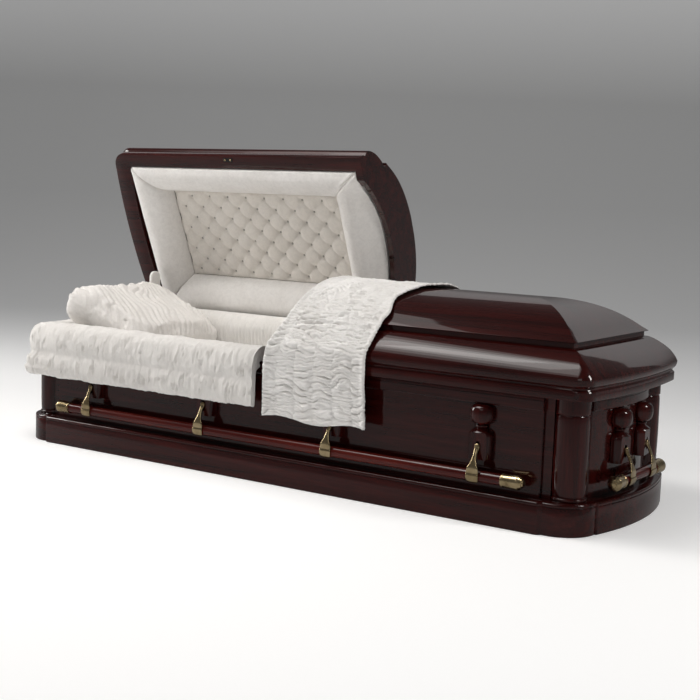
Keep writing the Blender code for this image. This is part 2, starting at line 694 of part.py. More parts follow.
def pillow_rings():
    rings = []
    for height, grow in ((-1.0, 0.50), (-0.75, 0.82), (-0.2, 1.0), (0.2, 1.0), (0.75, 0.82), (1.0, 0.45)):
        ring = []
        for i in range(16):
            turn = 2 * math.pi * i / 16
            cx = math.copysign(abs(math.cos(turn)) ** 0.6, math.cos(turn))
            cy = math.copysign(abs(math.sin(turn)) ** 0.6, math.sin(turn))
            ring.append((PILLOW_HALF_X * grow * cx, PILLOW_HALF_Y * grow * cy, PILLOW_HALF_Z * height))
        rings.append(ring)
    return rings


pillow = loft("pillow", pillow_rings(), "velvet")
pillow.data.transform(Matrix.Rotation(PILLOW_TILT, 4, "Y"))
pillow.data.transform(Matrix.Translation(PILLOW_CENTRE))

# Apron, a two-lobed gathered roll turned out over the top frame
APRON_SECTION = (
    (-0.035, 0.0025), (-0.045, 0.0245), (-0.020, 0.0445), (0.015, 0.0475), (0.048, 0.0325), (0.064, -0.0055),
    (0.063, -0.0405), (0.052, -0.0585), (0.064, -0.0755), (0.064, -0.1105), (0.052, -0.1315), (0.0425, -0.1255),
    (0.0420, -0.0605), (0.0400, -0.0255), (0.0220, -0.0155), (0.0220, 0.0025),
)


def apron(name, stations):
    rings = []
    for (x0, y0), (dx, dy) in stations:
        rings.append([(x0 + dx * out, y0 + dy * out, CASE_TOP + rise) for out, rise in APRON_SECTION])
    return loft(name, rings, "velvet")


front_stations = [((-0.024, -PANEL_Y), (0.0, -1.0)), ((-PANEL_X / 2, -PANEL_Y), (0.0, -1.0))]
front_stations.append(((-PANEL_X + 0.061, -PANEL_Y), (0.0, -1.0)))
front_stations.append(((-PANEL_X + GAP, -PANEL_Y), (-0.8, -0.8)))
apron("apron_front", front_stations)
head_stations = [((-PANEL_X, -PANEL_Y + GAP), (-0.8, -0.8)), ((-PANEL_X, -PANEL_Y + 0.070), (-1.0, 0.0))]
for share in (-0.54, 0.0, 0.54):
    bulge = PANEL_BOW * (1 - share * share)
    head_stations.append(((-PANEL_X - bulge, STILE_Y * share), (-1.0, 0.0)))
head_stations.append(((-PANEL_X, STILE_Y - 0.004), (-1.0, 0.0)))
apron("apron_head", head_stations)

# Throw laid over the head end of the foot lid
THROW_LIFT = 0.005
throw_line = []
for half_y in (0.200, 0.130, 0.060, 0.0, -0.060, -0.130, -0.200):
    throw_line.append((half_y, crown(abs(half_y))[1] + THROW_LIFT))
throw_line.append((-STEP_HALF_Y + 0.017, crown(STEP_HALF_Y - 0.017)[1] + THROW_LIFT + 0.003))
for out, rise in (
    (-0.064, 0.1490), (-0.032, 0.1180), (-0.004, 0.0860), (0.009, 0.0530),
    (0.009, -0.0020), (0.007, -0.0620), (0.006, -0.1320), (0.006, -0.1540),
):
    throw_line.append((-LID_HALF_Y - out, LID_BOTTOM + rise))


def throw_ring(x, low, high):
    under = []
    over = []
    for i, (y, z) in enumerate(throw_line):
        before = throw_line[max(i - 1, 0)]
        after = throw_line[min(i + 1, len(throw_line) - 1)]
        along = Vector((after[0] - before[0], after[1] - before[1])).normalized()
        out = Vector((along[1], -along[0]))
        under.append((x, y + out[0] * low, z + out[1] * low))
        over.append((x, y + out[0] * high, z + out[1] * high))
    return under + list(reversed(over))


throw_rings = [throw_ring(x, 0.001, 0.013) for x in (-0.022, 0.080, 0.190, 0.290, 0.372)]
loft("throw", throw_rings, "velvet")

# Fabric cover of the lid support, and the catch plate on the lid's front rim
cover_low = (-LINER - COLUMN_X + 0.020, PANEL_Y - 0.100, LID_BOTTOM + 0.002)
cover_high = (-COLUMN_X + 0.020, PANEL_Y - 0.050, LID_BOTTOM + 0.200)
box("lid_support_cover", cover_low, cover_high, "velvet", bevel=0.004)
PLATE_X = -0.502
plate_low = (PLATE_X - 0.020, -LID_HALF_Y + 0.010, LID_BOTTOM - 0.0012)
plate_high = (PLATE_X + 0.020, -LID_HALF_Y + 0.023, LID_BOTTOM - GAP / 3)
plate = box("catch_plate", plate_low, plate_high, "brass")
hinged(plate, HEAD_LID_OPEN)
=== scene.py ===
import json
from math import asin, atan, atan2, copysign, cos, exp, hypot, pi, radians, sin, sqrt

import bmesh
import bpy
from mathutils import Matrix, Vector, noise


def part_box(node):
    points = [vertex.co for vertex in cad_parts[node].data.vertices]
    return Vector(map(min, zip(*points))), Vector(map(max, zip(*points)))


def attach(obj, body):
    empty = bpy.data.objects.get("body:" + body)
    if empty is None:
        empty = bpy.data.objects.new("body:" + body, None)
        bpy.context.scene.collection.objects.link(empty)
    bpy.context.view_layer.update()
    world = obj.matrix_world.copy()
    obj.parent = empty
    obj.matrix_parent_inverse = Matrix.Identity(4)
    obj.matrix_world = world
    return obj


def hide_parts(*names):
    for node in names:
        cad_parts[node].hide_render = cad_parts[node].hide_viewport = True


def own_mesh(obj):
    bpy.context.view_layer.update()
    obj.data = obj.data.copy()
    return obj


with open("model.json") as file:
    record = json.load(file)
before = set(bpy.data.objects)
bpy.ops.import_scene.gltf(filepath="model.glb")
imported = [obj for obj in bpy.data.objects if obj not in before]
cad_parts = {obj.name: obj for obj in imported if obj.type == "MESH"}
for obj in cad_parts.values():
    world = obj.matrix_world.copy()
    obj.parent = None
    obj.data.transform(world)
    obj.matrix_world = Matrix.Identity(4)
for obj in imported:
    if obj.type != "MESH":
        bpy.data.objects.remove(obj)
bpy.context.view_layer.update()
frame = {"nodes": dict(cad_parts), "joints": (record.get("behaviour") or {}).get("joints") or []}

# Sizes read from the frame
rail_low, rail_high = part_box("top_frame")
wall_low, wall_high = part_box("case_walls")
foot_low, foot_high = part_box("foot_lid")
column_low, column_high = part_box("column_foot_front")
CASE_TOP, RAIL_BOTTOM, RAIL_Y = rail_high.z, rail_low.z, -rail_low.y
PANEL_Y, PANEL_END = -wall_low.y, wall_high.x
BASE_END, BASE_HALF_Y, BASE_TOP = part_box("base_frame")[1]
FOOT_CUT, LID_BOTTOM, CREST_Z = foot_low.x, foot_low.z, foot_high.z
HEAD_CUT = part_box("head_lid")[1].x
COLUMN_X = (column_low.x + column_high.x) / 2
COLUMN_Y = (column_low.y + column_high.y) / 2
COLUMN_RADIUS = (column_high.x - column_low.x) / 2

# Case plan. SIDE_BREAK is where the straight side of every plan has a point
SIDE_BREAK = 0.45
PANEL_BOW = 0.03
PANEL_X = PANEL_END - PANEL_BOW
STILE_X = 0.897
STILE_Y = 0.204
RECESS = 0.01
WALL = 0.025
RAIL_IN = 0.012
NOTCH_GAP = 0.0003
BASE_BOW = 0.031
BASE_WIDTH = 0.071
BASE_STEP = 0.002
BASE_HALF_X = BASE_END - BASE_BOW - BASE_STEP
BASE_BOARD_END = 0.912
PLINTH_RADIUS = 0.1
PLINTH_X = 0.932
PLINTH_Y = 0.234

# Balusters and handles
END_ARM_Y = 0.077
END_GAP = 0.0008
BALUSTER_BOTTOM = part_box("baluster_front_1")[0].z
BALUSTER_RADIUS = 0.037
BALUSTER_FLAT = 0.026
SLOT_WIDTH = 0.013
SLOT_BOTTOM = 0.186
SLOT_TOP = 0.222
SLOT_DEPTH = 0.014
BAR_RADIUS = 0.0155
BAR_OUT = 0.034
PIVOT_OUT = 0.027
BAR_Z = 0.129
TIP_LENGTH = 0.064
TIP_RADIUS = 0.0205
TIP_SOCKET = 0.014
ARM_SADDLE = 0.038

# Lids
LID_HALF_X = 1.035
LID_HALF_Y = 0.334
LID_BOW = 0.018
LID_WALL = 0.018
RIM_SIDE = 0.049
RIM_END = 0.067
RIM_HEIGHT = 0.022
STEP_HALF_X = 0.9565
STEP_HALF_Y = 0.262
CREST_HALF_X = 0.7136
CREST_DROP = 0.095
HEADER = 0.018
LEDGE = 0.008
ARCH_HALF = 0.258
ARCH_RISE = 0.094

joints = {joint["name"]: joint for joint in frame["joints"]}
LID_HINGE = Vector(joints["head_lid_hinge"]["pos_m"])
LID_OPEN = radians(max(joints["head_lid_hinge"]["range_deg"]))
SWUNG = Matrix.Translation(LID_HINGE) @ Matrix.Rotation(-LID_OPEN, 4, "X") @ Matrix.Translation(-LID_HINGE)


# Materials
def wire(tree, made, inputs):
    """Gives a node its inputs: plain values, or sockets to link."""
    for key, value in inputs.items():
        if isinstance(value, bpy.types.NodeSocket):
            tree.links.new(value, made.inputs[key])
        else:
            made.inputs[key].default_value = value


def node(tree, kind, inputs=None, **settings):
    made = tree.nodes.new("ShaderNode" + kind)
    for key, value in settings.items():
        setattr(made, key, value)
    wire(tree, made, inputs or {})
    return made


def material(name):
    made = bpy.data.materials.new(name)
    made.use_nodes = True
    return made, made.node_tree, made.node_tree.nodes["Principled BSDF"]


def streaks(tree, scale, detail, roughness, distortion=0.0):
    """Noise in the object's own space, stretched by the three scales."""
    place = node(tree, "TexCoord").outputs["Object"]
    mapped = node(tree, "Mapping", {"Vector": place, "Scale": scale}).outputs["Vector"]
    return node(tree, "TexNoise", {
        "Vector": mapped, "Scale": 1.0, "Detail": detail, "Roughness": roughness, "Distortion": distortion,
    }).outputs["Fac"]


def ramp(tree, factor, stops):
    """A colour ramp. A stop is a place with a colour, or with one number for a grey."""
    made = node(tree, "ValToRGB", {"Fac": factor})
    elements = made.color_ramp.elements
    while len(elements) < len(stops):
        elements.new(0.5)
    for element, (place, colour) in zip(elements, stops):
        element.position = place
        element.color = (*(colour if isinstance(colour, tuple) else (colour,) * 3), 1.0)
    return made.outputs["Color"]


def multiplied(tree, first, second):
    made = node(tree, "Mix", {0: 1.0, 6: first, 7: second}, data_type="RGBA", blend_type="MULTIPLY")
    return made.outputs[2]


def relief(tree, height, strength, distance, over=None):
    """The shading normal of a height, laid over another one where that is given."""
    inputs = {"Height": height, "Strength": strength, "Distance": distance}
    if over is not None:
        inputs["Normal"] = over
    return node(tree, "Bump", inputs).outputs["Normal"]


def lacquered(name, dark, mid, light, along):
    """Stained mahogany under gloss lacquer, with the grain along the given axis."""
    made, tree, shader = material(name)
    long_way = {"X": (1.6, 34.0, 34.0), "Y": (34.0, 1.6, 34.0), "Z": (34.0, 34.0, 1.6)}[along]
    figure = streaks(tree, long_way, 4.0, 0.55, 0.6)
    pores = streaks(tree, tuple(value * 9.0 for value in long_way), 3.0, 0.6)
    peel = streaks(tree, (24.0, 24.0, 24.0), 1.0, 0.5)
    grain = ramp(tree, figure, ((0.3, dark), (0.52, mid), (0.74, light)))
    wire(tree, shader, {
        "Base Color": multiplied(tree, grain, ramp(tree, pores, ((0.36, 0.7), (0.5, 1.0)))),
        "Roughness": ramp(tree, pores, ((0.3, 0.42), (0.7, 0.3))),
        "Normal": relief(tree, pores, 0.06, 0.0003),
        "Coat Normal": relief(tree, peel, 0.025, 0.002),
        "Specular IOR Level": 0.04, "Coat Weight": 1.0, "Coat Roughness": 0.045, "Coat IOR": 1.4,
    })
    return made


def brushed_brass(name, along):
    """Antique brass, lacquered over a brushed surface, darker where the patina gathers."""
    made, tree, shader = material(name)
    across = {"X": (12.0, 700.0, 700.0), "Z": (700.0, 700.0, 12.0)}[along]
    brushing = streaks(tree, across, 3.0, 0.6)
    patina = streaks(tree, (26.0, 26.0, 26.0), 2.0, 0.5, 0.2)
    stops = ((0.28, (0.34, 0.25, 0.13)), (0.48, (0.52, 0.4, 0.22)), (0.72, (0.68, 0.54, 0.32)))
    lines = ramp(tree, brushing, ((0.3, 0.72), (0.7, 1.0)))
    wire(tree, shader, {
        "Base Color": multiplied(tree, ramp(tree, patina, stops), lines),
        "Roughness": ramp(tree, patina, ((0.25, 0.3), (0.75, 0.18))),
        "Normal": relief(tree, brushing, 0.05, 0.0002),
        "Metallic": 1.0, "Coat Weight": 0.25, "Coat Roughness": 0.15,
    })
    return made


def cloth(name, shade, tint, crush=1.0, way=(1.0, 1.0, 1.0)):
    """Crushed velvet: a soft nap with fine creases, stretched along the way its gathers run, with painted
    shade in the crease valleys.
    """
    made, tree, shader = material(name)
    creases = streaks(tree, tuple(70.0 * value for value in way), 4.0, 0.62, 0.8)
    nap = streaks(tree, (820.0, 820.0, 820.0), 2.0, 0.55)
    tone = ramp(tree, streaks(tree, (9.0, 9.0, 9.0), 3.0, 0.55), ((0.3, shade), (0.7, tint)))
    wire(tree, shader, {
        # Painted shade: the base colour is darkened where the crease noise is low, in the valleys of the
        # crease bump
        "Base Color": multiplied(tree, tone, ramp(tree, creases, ((0.25, 0.9), (0.6, 1.0)))),
        "Roughness": ramp(tree, nap, ((0.2, 0.95), (0.8, 0.78))),
        "Normal": relief(tree, creases, 0.5 * crush, 0.004, relief(tree, nap, 0.22, 0.0006)),
        "Specular IOR Level": 0.2, "Sheen Weight": 0.35, "Sheen Roughness": 0.45,
    })
    return made


def plain_wood(name):
    """Unfinished boards of the underside."""
    made, tree, shader = material(name)
    figure = streaks(tree, (2.0, 60.0, 60.0), 5.0, 0.6, 0.8)
    stops = ((0.3, (0.3, 0.19, 0.11)), (0.55, (0.42, 0.28, 0.17)), (0.75, (0.5, 0.35, 0.22)))
    tone = ramp(tree, figure, stops)
    wire(tree, shader, {"Base Color": tone, "Normal": relief(tree, figure, 0.3, 0.0008), "Roughness": 0.65})
    return made


def dark_metal(name):
    """Blackened recess of a catch or a lock."""
    made, tree, shader = material(name)
    tone = ramp(tree, streaks(tree, (300.0, 300.0, 300.0), 2.0, 0.5), ((0.3, 0.01), (0.7, 0.03)))
    wire(tree, shader, {"Base Color": tone, "Metallic": 0.8, "Roughness": 0.4})
    return made


MAHOGANY = ((0.014, 0.0011, 0.0008), (0.027, 0.0021, 0.0015), (0.046, 0.0042, 0.0028))
BAR_TONES = ((0.03, 0.002, 0.0014), (0.055, 0.0046, 0.003), (0.09, 0.0096, 0.0056))
LOOKS = {
    "wood_x": lacquered("mahogany_long", *MAHOGANY, "X"),
    "wood_y": lacquered("mahogany_across", *MAHOGANY, "Y"),
    "wood_z": lacquered("mahogany_upright", *MAHOGANY, "Z"),
    "bar_x": lacquered("bar_wood_long", *BAR_TONES, "X"),
    "bar_y": lacquered("bar_wood_across", *BAR_TONES, "Y"),
    "brass": brushed_brass("antique_brass", "Z"),
    "brass_x": brushed_brass("antique_brass_long", "X"),
    "cloth": cloth("velvet_plain", (0.8, 0.775, 0.745), (0.85, 0.83, 0.805), 0.5),
    # Painted shade: the velvet is one fabric, and the tufted panel, apron and pillow get darker copies of its
    # colour to set how bright they look under the lamps; the tufted panel's copy is also warmer, as painted
    # bounce light
    "cloth_tufted_painted_shade": cloth("velvet_tufted_painted_shade", (0.76, 0.715, 0.655), (0.81, 0.77, 0.715), 0.5),
    "cloth_apron_painted_shade": cloth("velvet_apron_painted_shade", (0.69, 0.665, 0.635), (0.75, 0.73, 0.7), 1.0, (1.0, 1.0, 0.35)),
    "cloth_throw": cloth("velvet_throw", (0.76, 0.74, 0.715), (0.81, 0.795, 0.775), 1.0, (0.35, 1.0, 1.0)),
    "cloth_pillow_painted_shade": cloth("velvet_pillow_painted_shade", (0.72, 0.69, 0.66), (0.78, 0.755, 0.725), 0.9),
    "cloth_pleated": cloth("velvet_pleated", (0.77, 0.75, 0.715), (0.82, 0.8, 0.77), 0.8, (1.0, 1.0, 0.35)),
    "cloth_shirred": cloth("velvet_shirred", (0.76, 0.74, 0.71), (0.82, 0.8, 0.77), 0.8, (1.0, 1.0, 0.35)),
    # Painted shade: the buttons are velvet, but get a much darker copy of its colour for the shade of the
    # tuft pits
    "cloth_button_painted_shade": cloth("velvet_buttons_painted_shade", (0.4, 0.38, 0.34), (0.46, 0.44, 0.4), 0.4),
    "raw_wood": plain_wood("underside_boards"),
    "dark": dark_metal("dark_recess"),
}
# Numbers
def clamp(value):
    return min(1.0, max(0.0, value))


def eased(share):
    return share * share * (3 - 2 * share)


def bell(value, middle, width):
    """One at the middle, falling smoothly to nothing about twice the width away."""
    return exp(-((value - middle) / width) ** 2)


def powered(value, power):
    """The value's size raised to a power, with its sign kept."""
    return copysign(abs(value) ** power, value)


def shares(count, first=0.0, last=1.0):
    return [first + (last - first) * i / count for i in range(count + 1)]


def arc(x, y, radius, turns):
    return [(x + radius * cos(turn), y + radius * sin(turn)) for turn in turns]


def under(top, rows):
    """Rows of (out, depth below the top) as rows of (out, height)."""
    return [(out, top - drop) for out, drop in rows]


def spline(a, b, c, d, steps):
    """Points from b towards c, on the smooth curve through the four."""
    result = []
    for k in range(steps):
        t = k / steps
        result.append(tuple(
            q + 0.5 * t * (r - p + t * (2 * p - 5 * q + 4 * r - s + t * (3 * (q - r) + s - p)))
            for p, q, r, s in zip(a, b, c, d)))
    return result


def curve_through(rows, steps):
    """Rows of numbers between the given rows, on a smooth curve through them."""
    ends = [rows[0], *rows, rows[-1]]
    runs = [spline(*ends[i:i + 4], steps) for i in range(len(rows) - 1)]
    return sum(runs, []) + [tuple(rows[-1])]


def smooth_loop(points, steps):
    """A closed ring through the given points."""
    ring = [points[-1], *points, *points[:2]]
    return sum((spline(*ring[i:i + 4], steps) for i in range(len(points))), [])


# Meshes and objects
def linked(name, data):
    item = bpy.data.objects.new(name, data)
    bpy.context.scene.collection.objects.link(item)
    return item


def evaluated(item):
    bpy.context.view_layer.update()
    return bpy.data.meshes.new_from_object(item.evaluated_get(bpy.context.evaluated_depsgraph_get()))


def finished(made, name, outward=True):
    """The mesh of a bmesh, with its faces turned outwards where that is asked."""
    if outward:
        bmesh.ops.recalc_face_normals(made, faces=made.faces)
        if made.calc_volume(signed=True) < 0:
            bmesh.ops.reverse_faces(made, faces=made.faces)
    mesh = bpy.data.meshes.new(name)
    made.to_mesh(mesh)
    made.free()
    return mesh


def skin(name, rings, around=False, closed=True):
    """Quads between rings of equal length. A closed ring joins its own ends.

    With around, the last ring is joined to the first, and otherwise closed rings get a cap at each end.
    """
    made = bmesh.new()
    rows = [[made.verts.new(point) for point in ring] for ring in rings]
    count = len(rows[0])
    for low, high in list(zip(rows, rows[1:])) + ([(rows[-1], rows[0])] if around else []):
        for i in range(count if closed else count - 1):
            j = (i + 1) % count
            made.faces.new((low[i], low[j], high[j], high[i]))
    if closed and not around:
        made.faces.new(list(reversed(rows[0])))
        made.faces.new(rows[-1])
    return finished(made, name, closed)


def turned(name, profile, steps=48):
    """A closed turned mesh about Z from (radius, height) pairs whose first and last radius are zero."""
    made = bmesh.new()
    low = made.verts.new((0.0, 0.0, profile[0][1]))
    high = made.verts.new((0.0, 0.0, profile[-1][1]))
    turns = [2 * pi * i / steps for i in range(steps)]
    rows = [[made.verts.new((radius * cos(turn), radius * sin(turn), height)) for turn in turns]
            for radius, height in profile[1:-1]]
    for i in range(steps):
        j = (i + 1) % steps
        made.faces.new((low, rows[0][j], rows[0][i]))
        made.faces.new((high, rows[-1][i], rows[-1][j]))
        for below, above in zip(rows, rows[1:]):
            made.faces.new((below[i], below[j], above[j], above[i]))
    return finished(made, name)


def block(name, low, high):
    made = bmesh.new()
    bmesh.ops.create_cube(made, size=1.0)
    bmesh.ops.scale(made, vec=[b - a for a, b in zip(low, high)], verts=made.verts)
    bmesh.ops.translate(made, vec=[(a + b) / 2 for a, b in zip(low, high)], verts=made.verts)
    return finished(made, name, False)


def sheet_mesh(name, across, down, point):
    """A closed mesh between two grids of points, from a function of column, row and being in front."""
    made = bmesh.new()
    top, bottom = ([[made.verts.new(point(i, j, front)) for i in range(across + 1)] for j in range(down + 1)]
                   for front in (True, False))
    for j in range(down):
        for i in range(across):
            made.faces.new((top[j][i], top[j][i + 1], top[j + 1][i + 1], top[j + 1][i]))
            made.faces.new((bottom[j][i], bottom[j + 1][i], bottom[j + 1][i + 1], bottom[j][i + 1]))
    for i in range(across):
        made.faces.new((top[0][i], bottom[0][i], bottom[0][i + 1], top[0][i + 1]))
        made.faces.new((top[down][i + 1], bottom[down][i + 1], bottom[down][i], top[down][i]))
    for j in range(down):
        made.faces.new((top[j + 1][0], bottom[j + 1][0], bottom[j][0], top[j][0]))
        made.faces.new((top[j][across], bottom[j][across], bottom[j + 1][across], top[j + 1][across]))
    return finished(made, name)


def joined(name, parts):
    """One mesh of several, each already in place."""
    made = bmesh.new()
    for part in parts:
        made.from_mesh(part)
    return finished(made, name, False)


def moved(mesh, matrix):
    mesh.transform(matrix)
    return mesh


def put(name, mesh, look, body, stands_for=(), sharp=32.0, matrix=None, round_edge=0.0):
    """Makes a finished piece of a mesh: shading, material, body and the frame nodes it stands for."""
    if matrix is not None:
        mesh.transform(matrix)
        if matrix.determinant() < 0:
            mesh.flip_normals()
    mesh.name = name
    item = linked(name, mesh)
    mesh.materials.clear()
    mesh.materials.append(LOOKS[look])
    mesh.shade_smooth()
    mesh.set_sharp_from_angle(angle=radians(sharp))
    if round_edge:
        edge = item.modifiers.new("edge", "BEVEL")
        edge.width = round_edge
        edge.segments = 2
        edge.limit_method = "ANGLE"
        edge.angle_limit = radians(sharp)
        edge.harden_normals = True
    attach(item, body)
    if stands_for:
        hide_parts(*stands_for)
    return item
def soft(name, mesh, look, body, stands_for, sharp=75.0, matrix=None):
    """A finished piece of cloth, smooth-shaded over a wider angle."""
    item = put(name, mesh, look, body, stands_for, sharp=sharp, matrix=matrix)
    return item


def flattened(item):
    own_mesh(item)


def carved(mesh, *cutters):
    """The mesh with the cutter meshes taken away."""
    item = linked("carving", mesh)
    tools = [linked("tool", cutter) for cutter in cutters]
    for tool in tools:
        step = item.modifiers.new("cut", "BOOLEAN")
        step.object = tool
        step.solver = "MANIFOLD"
    result = evaluated(item)
    for thing in [item] + tools:
        bpy.data.objects.remove(thing)
    return result


def four_fold(quarter):
    """Copies a quarter plan, running from the front side to the right-hand end, into all four quarters."""
    back = [(x, -y) for x, y in reversed(quarter)]
    right = quarter + [point for point in back if abs(point[1]) > 1e-9]
    left = [(-x, -y) for x, y in right]
    return right + left


def at_height(plan, z):
    return [(x, y, z) for x, y in plan]


# Base frame with rounded corner plinths: plain boards under one small bead
def base_plan(inset):
    half_y = BASE_HALF_Y - inset
    radius = PLINTH_RADIUS - inset
    quarter = [(SIDE_BREAK, -half_y), (BASE_BOARD_END - 0.004, -half_y), (BASE_BOARD_END, -half_y + 0.001)]
    quarter.append((BASE_BOARD_END + 0.01, -half_y + 0.011))
    quarter += arc(PLINTH_X, -PLINTH_Y, radius, [-pi / 2 * (1 - share) for share in shares(22)])
    half_x = BASE_HALF_X + BASE_STEP - inset
    for part in shares(12, 1.0, 0.0):
        quarter.append((half_x + BASE_BOW * (1 - part * part), -(PLINTH_Y - 0.002) * part))
    return four_fold(quarter)


base_profile = [(0.0022, 0.0), (0.0004, 0.0012), (0.0, 0.003)]
base_profile += under(BASE_TOP, [(0.0, 0.0135), (0.0003, 0.0127)])
BASE_BEAD = [(0.002, 0.012), (0.0018, 0.0108), (0.0003, 0.0095), (-0.0002, 0.007), (0.0006, 0.0035)]
BASE_BEAD += [(0.003, 0.001), (0.0062, 0.0)]
base_profile += curve_through(under(BASE_TOP, BASE_BEAD), 3)
base_profile += under(BASE_TOP,
    [(0.024, 0.0), (0.0246, 0.0012), (0.0262, 0.0012), (0.0268, 0.0), (BASE_WIDTH, 0.0)])
base_profile.append((BASE_WIDTH, 0.0))
base_rings = [at_height(base_plan(inset), z) for inset, z in base_profile]
put("base_moulding", skin("base", base_rings, around=True), "wood_x", "case", ["base_frame"], sharp=28.0)


# Case walls and top frame, notched round the corner columns
def case_plans(out, thickness):
    """Outer and inner plan of the case, with as many points in each."""
    face_y = PANEL_Y + out
    face_x = PANEL_X + out
    step_y = PANEL_Y - RECESS
    step_x = PANEL_X - RECESS
    reach = (COLUMN_RADIUS + NOTCH_GAP) / cos(radians(11.5))
    side = asin((step_y + COLUMN_Y) / reach)
    end = asin((step_x - COLUMN_X) / reach)
    outer = [(SIDE_BREAK, -face_y), (STILE_X - 0.003, -face_y), (STILE_X, -face_y + 0.003),
        (STILE_X, -step_y)]
    notch = shares(20)
    turns = [(pi + side) + (-pi / 2 - end - side) * share for share in notch]
    outer += arc(COLUMN_X, COLUMN_Y, reach, turns)
    outer += [(step_x, -STILE_Y), (face_x - 0.003, -STILE_Y)]
    bow = shares(12, 0.985, 0.0)
    for part in bow:
        outer.append((face_x + PANEL_BOW * (1 - part * part), -STILE_Y * part))
    in_y = PANEL_Y - thickness
    in_x = PANEL_X - thickness
    reach_in = COLUMN_RADIUS + 0.018 + thickness - WALL
    middle = (COLUMN_X - reach_in * sqrt(0.5), COLUMN_Y + reach_in * sqrt(0.5))
    first = (middle[0] - (in_y + middle[1]), -in_y)
    last = (in_x, middle[1] + (in_x - middle[0]))
    inner = [(SIDE_BREAK, -in_y)]
    for step in (0.03, 0.02, 0.01):
        inner.append((first[0] - step, -in_y))
    for share in notch:
        inner.append((first[0] + (last[0] - first[0]) * share, first[1] + (last[1] - first[1]) * share))
    for share in [0.985, 0.95] + [part * 0.92 for part in bow]:
        inner.append((in_x + PANEL_BOW * (1 - share * share), last[1] * share))
    return four_fold(outer), four_fold(inner)


def case_band(profile):
    """A run round the case from (out, thickness, height) rows. Without thickness, it is on the outer plan."""
    rings = []
    for out, thickness, z in profile:
        outer, inner = case_plans(out, thickness or WALL)
        rings.append(at_height(inner if thickness else outer, z))
    return rings


WALL_BAND = [(0.0, 0.0, BASE_TOP + NOTCH_GAP), (0.0, 0.0, RAIL_BOTTOM), (0.0, WALL, RAIL_BOTTOM)]
WALL_BAND.append((0.0, WALL, BASE_TOP + NOTCH_GAP))
put("case_panels", skin("walls", case_band(WALL_BAND), around=True), "wood_x", "case", ["case_walls"],
    sharp=28.0)
RAIL_OUT = RAIL_Y - PANEL_Y
RAIL_EDGE = [(0.0045, RAIL_BOTTOM), (0.0018, RAIL_BOTTOM + 0.0008), (0.0, RAIL_BOTTOM + 0.0038)]
RAIL_EDGE += under(CASE_TOP, [(0.0, 0.012), (0.0014, 0.0112), (0.0014, 0.0098), (0.0, 0.009), (0.0, 0.003)])
RAIL_EDGE += under(CASE_TOP, [(0.001, 0.0008), (0.0035, 0.0)])
rail_rows = [(RAIL_OUT - ease, 0.0, z) for ease, z in RAIL_EDGE]
rail_rows += [(RAIL_OUT, WALL + RAIL_IN, CASE_TOP), (RAIL_OUT, WALL + RAIL_IN, RAIL_BOTTOM)]
put("top_moulding", skin("rail", case_band(rail_rows), around=True), "wood_x", "case", ["top_frame"],
    sharp=28.0)

# Corner columns with their collars
column_profile = [(0.0, BASE_TOP + NOTCH_GAP), (0.047, BASE_TOP + NOTCH_GAP)]
COLUMN_RUNS = (
    (3, [(0.0478, BASE_TOP + 0.0006), (COLUMN_RADIUS, 0.0915), (0.0486, 0.0955), (0.047, 0.0972)]),
    (4, [(0.0452, 0.0976), (0.0448, 0.0995), (0.0462, 0.103), (0.0474, 0.13), (0.0482, 0.21)]),
    (4, [(0.0482, 0.211), (0.0472, 0.295), (0.046, 0.313), (0.0444, 0.3172), (0.0446, 0.319)]),
    (3, [(0.0462, 0.3196), (0.0474, 0.3212), (0.0476, 0.326), (0.0476, CASE_TOP - 0.002)]),
)
for steps, run in COLUMN_RUNS:
    column_profile += curve_through(run, steps)
column_profile += [(0.0462, CASE_TOP), (0.0, CASE_TOP)]
for end, sx in (("foot", 1), ("head", -1)):
    for side, sy in (("front", 1), ("back", -1)):
        name = "column_" + end + "_" + side
        place = Matrix.Translation((sx * COLUMN_X, sy * COLUMN_Y, 0.0))
        put("turned_" + name, turned("column", column_profile, 64), "wood_z", "case", [name], matrix=place)

# Half-turned balusters, planed in front and slotted for the arm
ball_top = RAIL_BOTTOM - 0.0006
baluster_profile = [(0.0, BALUSTER_BOTTOM), (BALUSTER_RADIUS - 0.0015, BALUSTER_BOTTOM)]
baluster_profile += [(BALUSTER_RADIUS - 0.0004, BALUSTER_BOTTOM + 0.0005),
    (BALUSTER_RADIUS, BALUSTER_BOTTOM + 0.0016)]
SHOULDER = [(BALUSTER_RADIUS, 0.2325), (0.0365, 0.2385), (0.0335, 0.2452), (0.0272, 0.2512), (0.0205, 0.2552),
    (0.0172, 0.258)]
COLLAR = [(0.017, 0.2586), (0.0198, 0.26), (0.0208, 0.2622), (0.0198, 0.2645), (0.017, 0.266)]
BALL = [(0.0185, 0.2668), (0.029, 0.2705), (0.0352, 0.28), (0.0375, 0.2945), (0.0355, 0.308), (0.03, 0.3165),
    (0.021, ball_top)]
for run in (SHOULDER, COLLAR, BALL):
    baluster_profile += curve_through(run, 5)
baluster_profile.append((0.0, ball_top))
front_cut = block("front", (-0.06, -0.06, 0.15), (0.06, -BALUSTER_FLAT, 0.246))
back_cut = block("back", (-0.06, -NOTCH_GAP, 0.15), (0.06, 0.06, 0.34))
radius = SLOT_WIDTH / 2
slot_plan = arc(0.0, SLOT_TOP - radius, radius, [pi * share for share in shares(16)])
slot_plan += arc(0.0, SLOT_BOTTOM + radius, radius, [pi * (1 + share) for share in shares(8)])
slot_rings = [[(x, y, z) for x, z in slot_plan] for y in (-0.06, -BALUSTER_FLAT + SLOT_DEPTH)]
baluster_mesh = carved(turned("baluster", baluster_profile, 72), front_cut, skin("slot", slot_rings),
    back_cut)


def face_offset(y):
    """How far the bowed end panel stands out at this depth."""
    return PANEL_X + PANEL_BOW * (1 - (y / STILE_Y) ** 2)


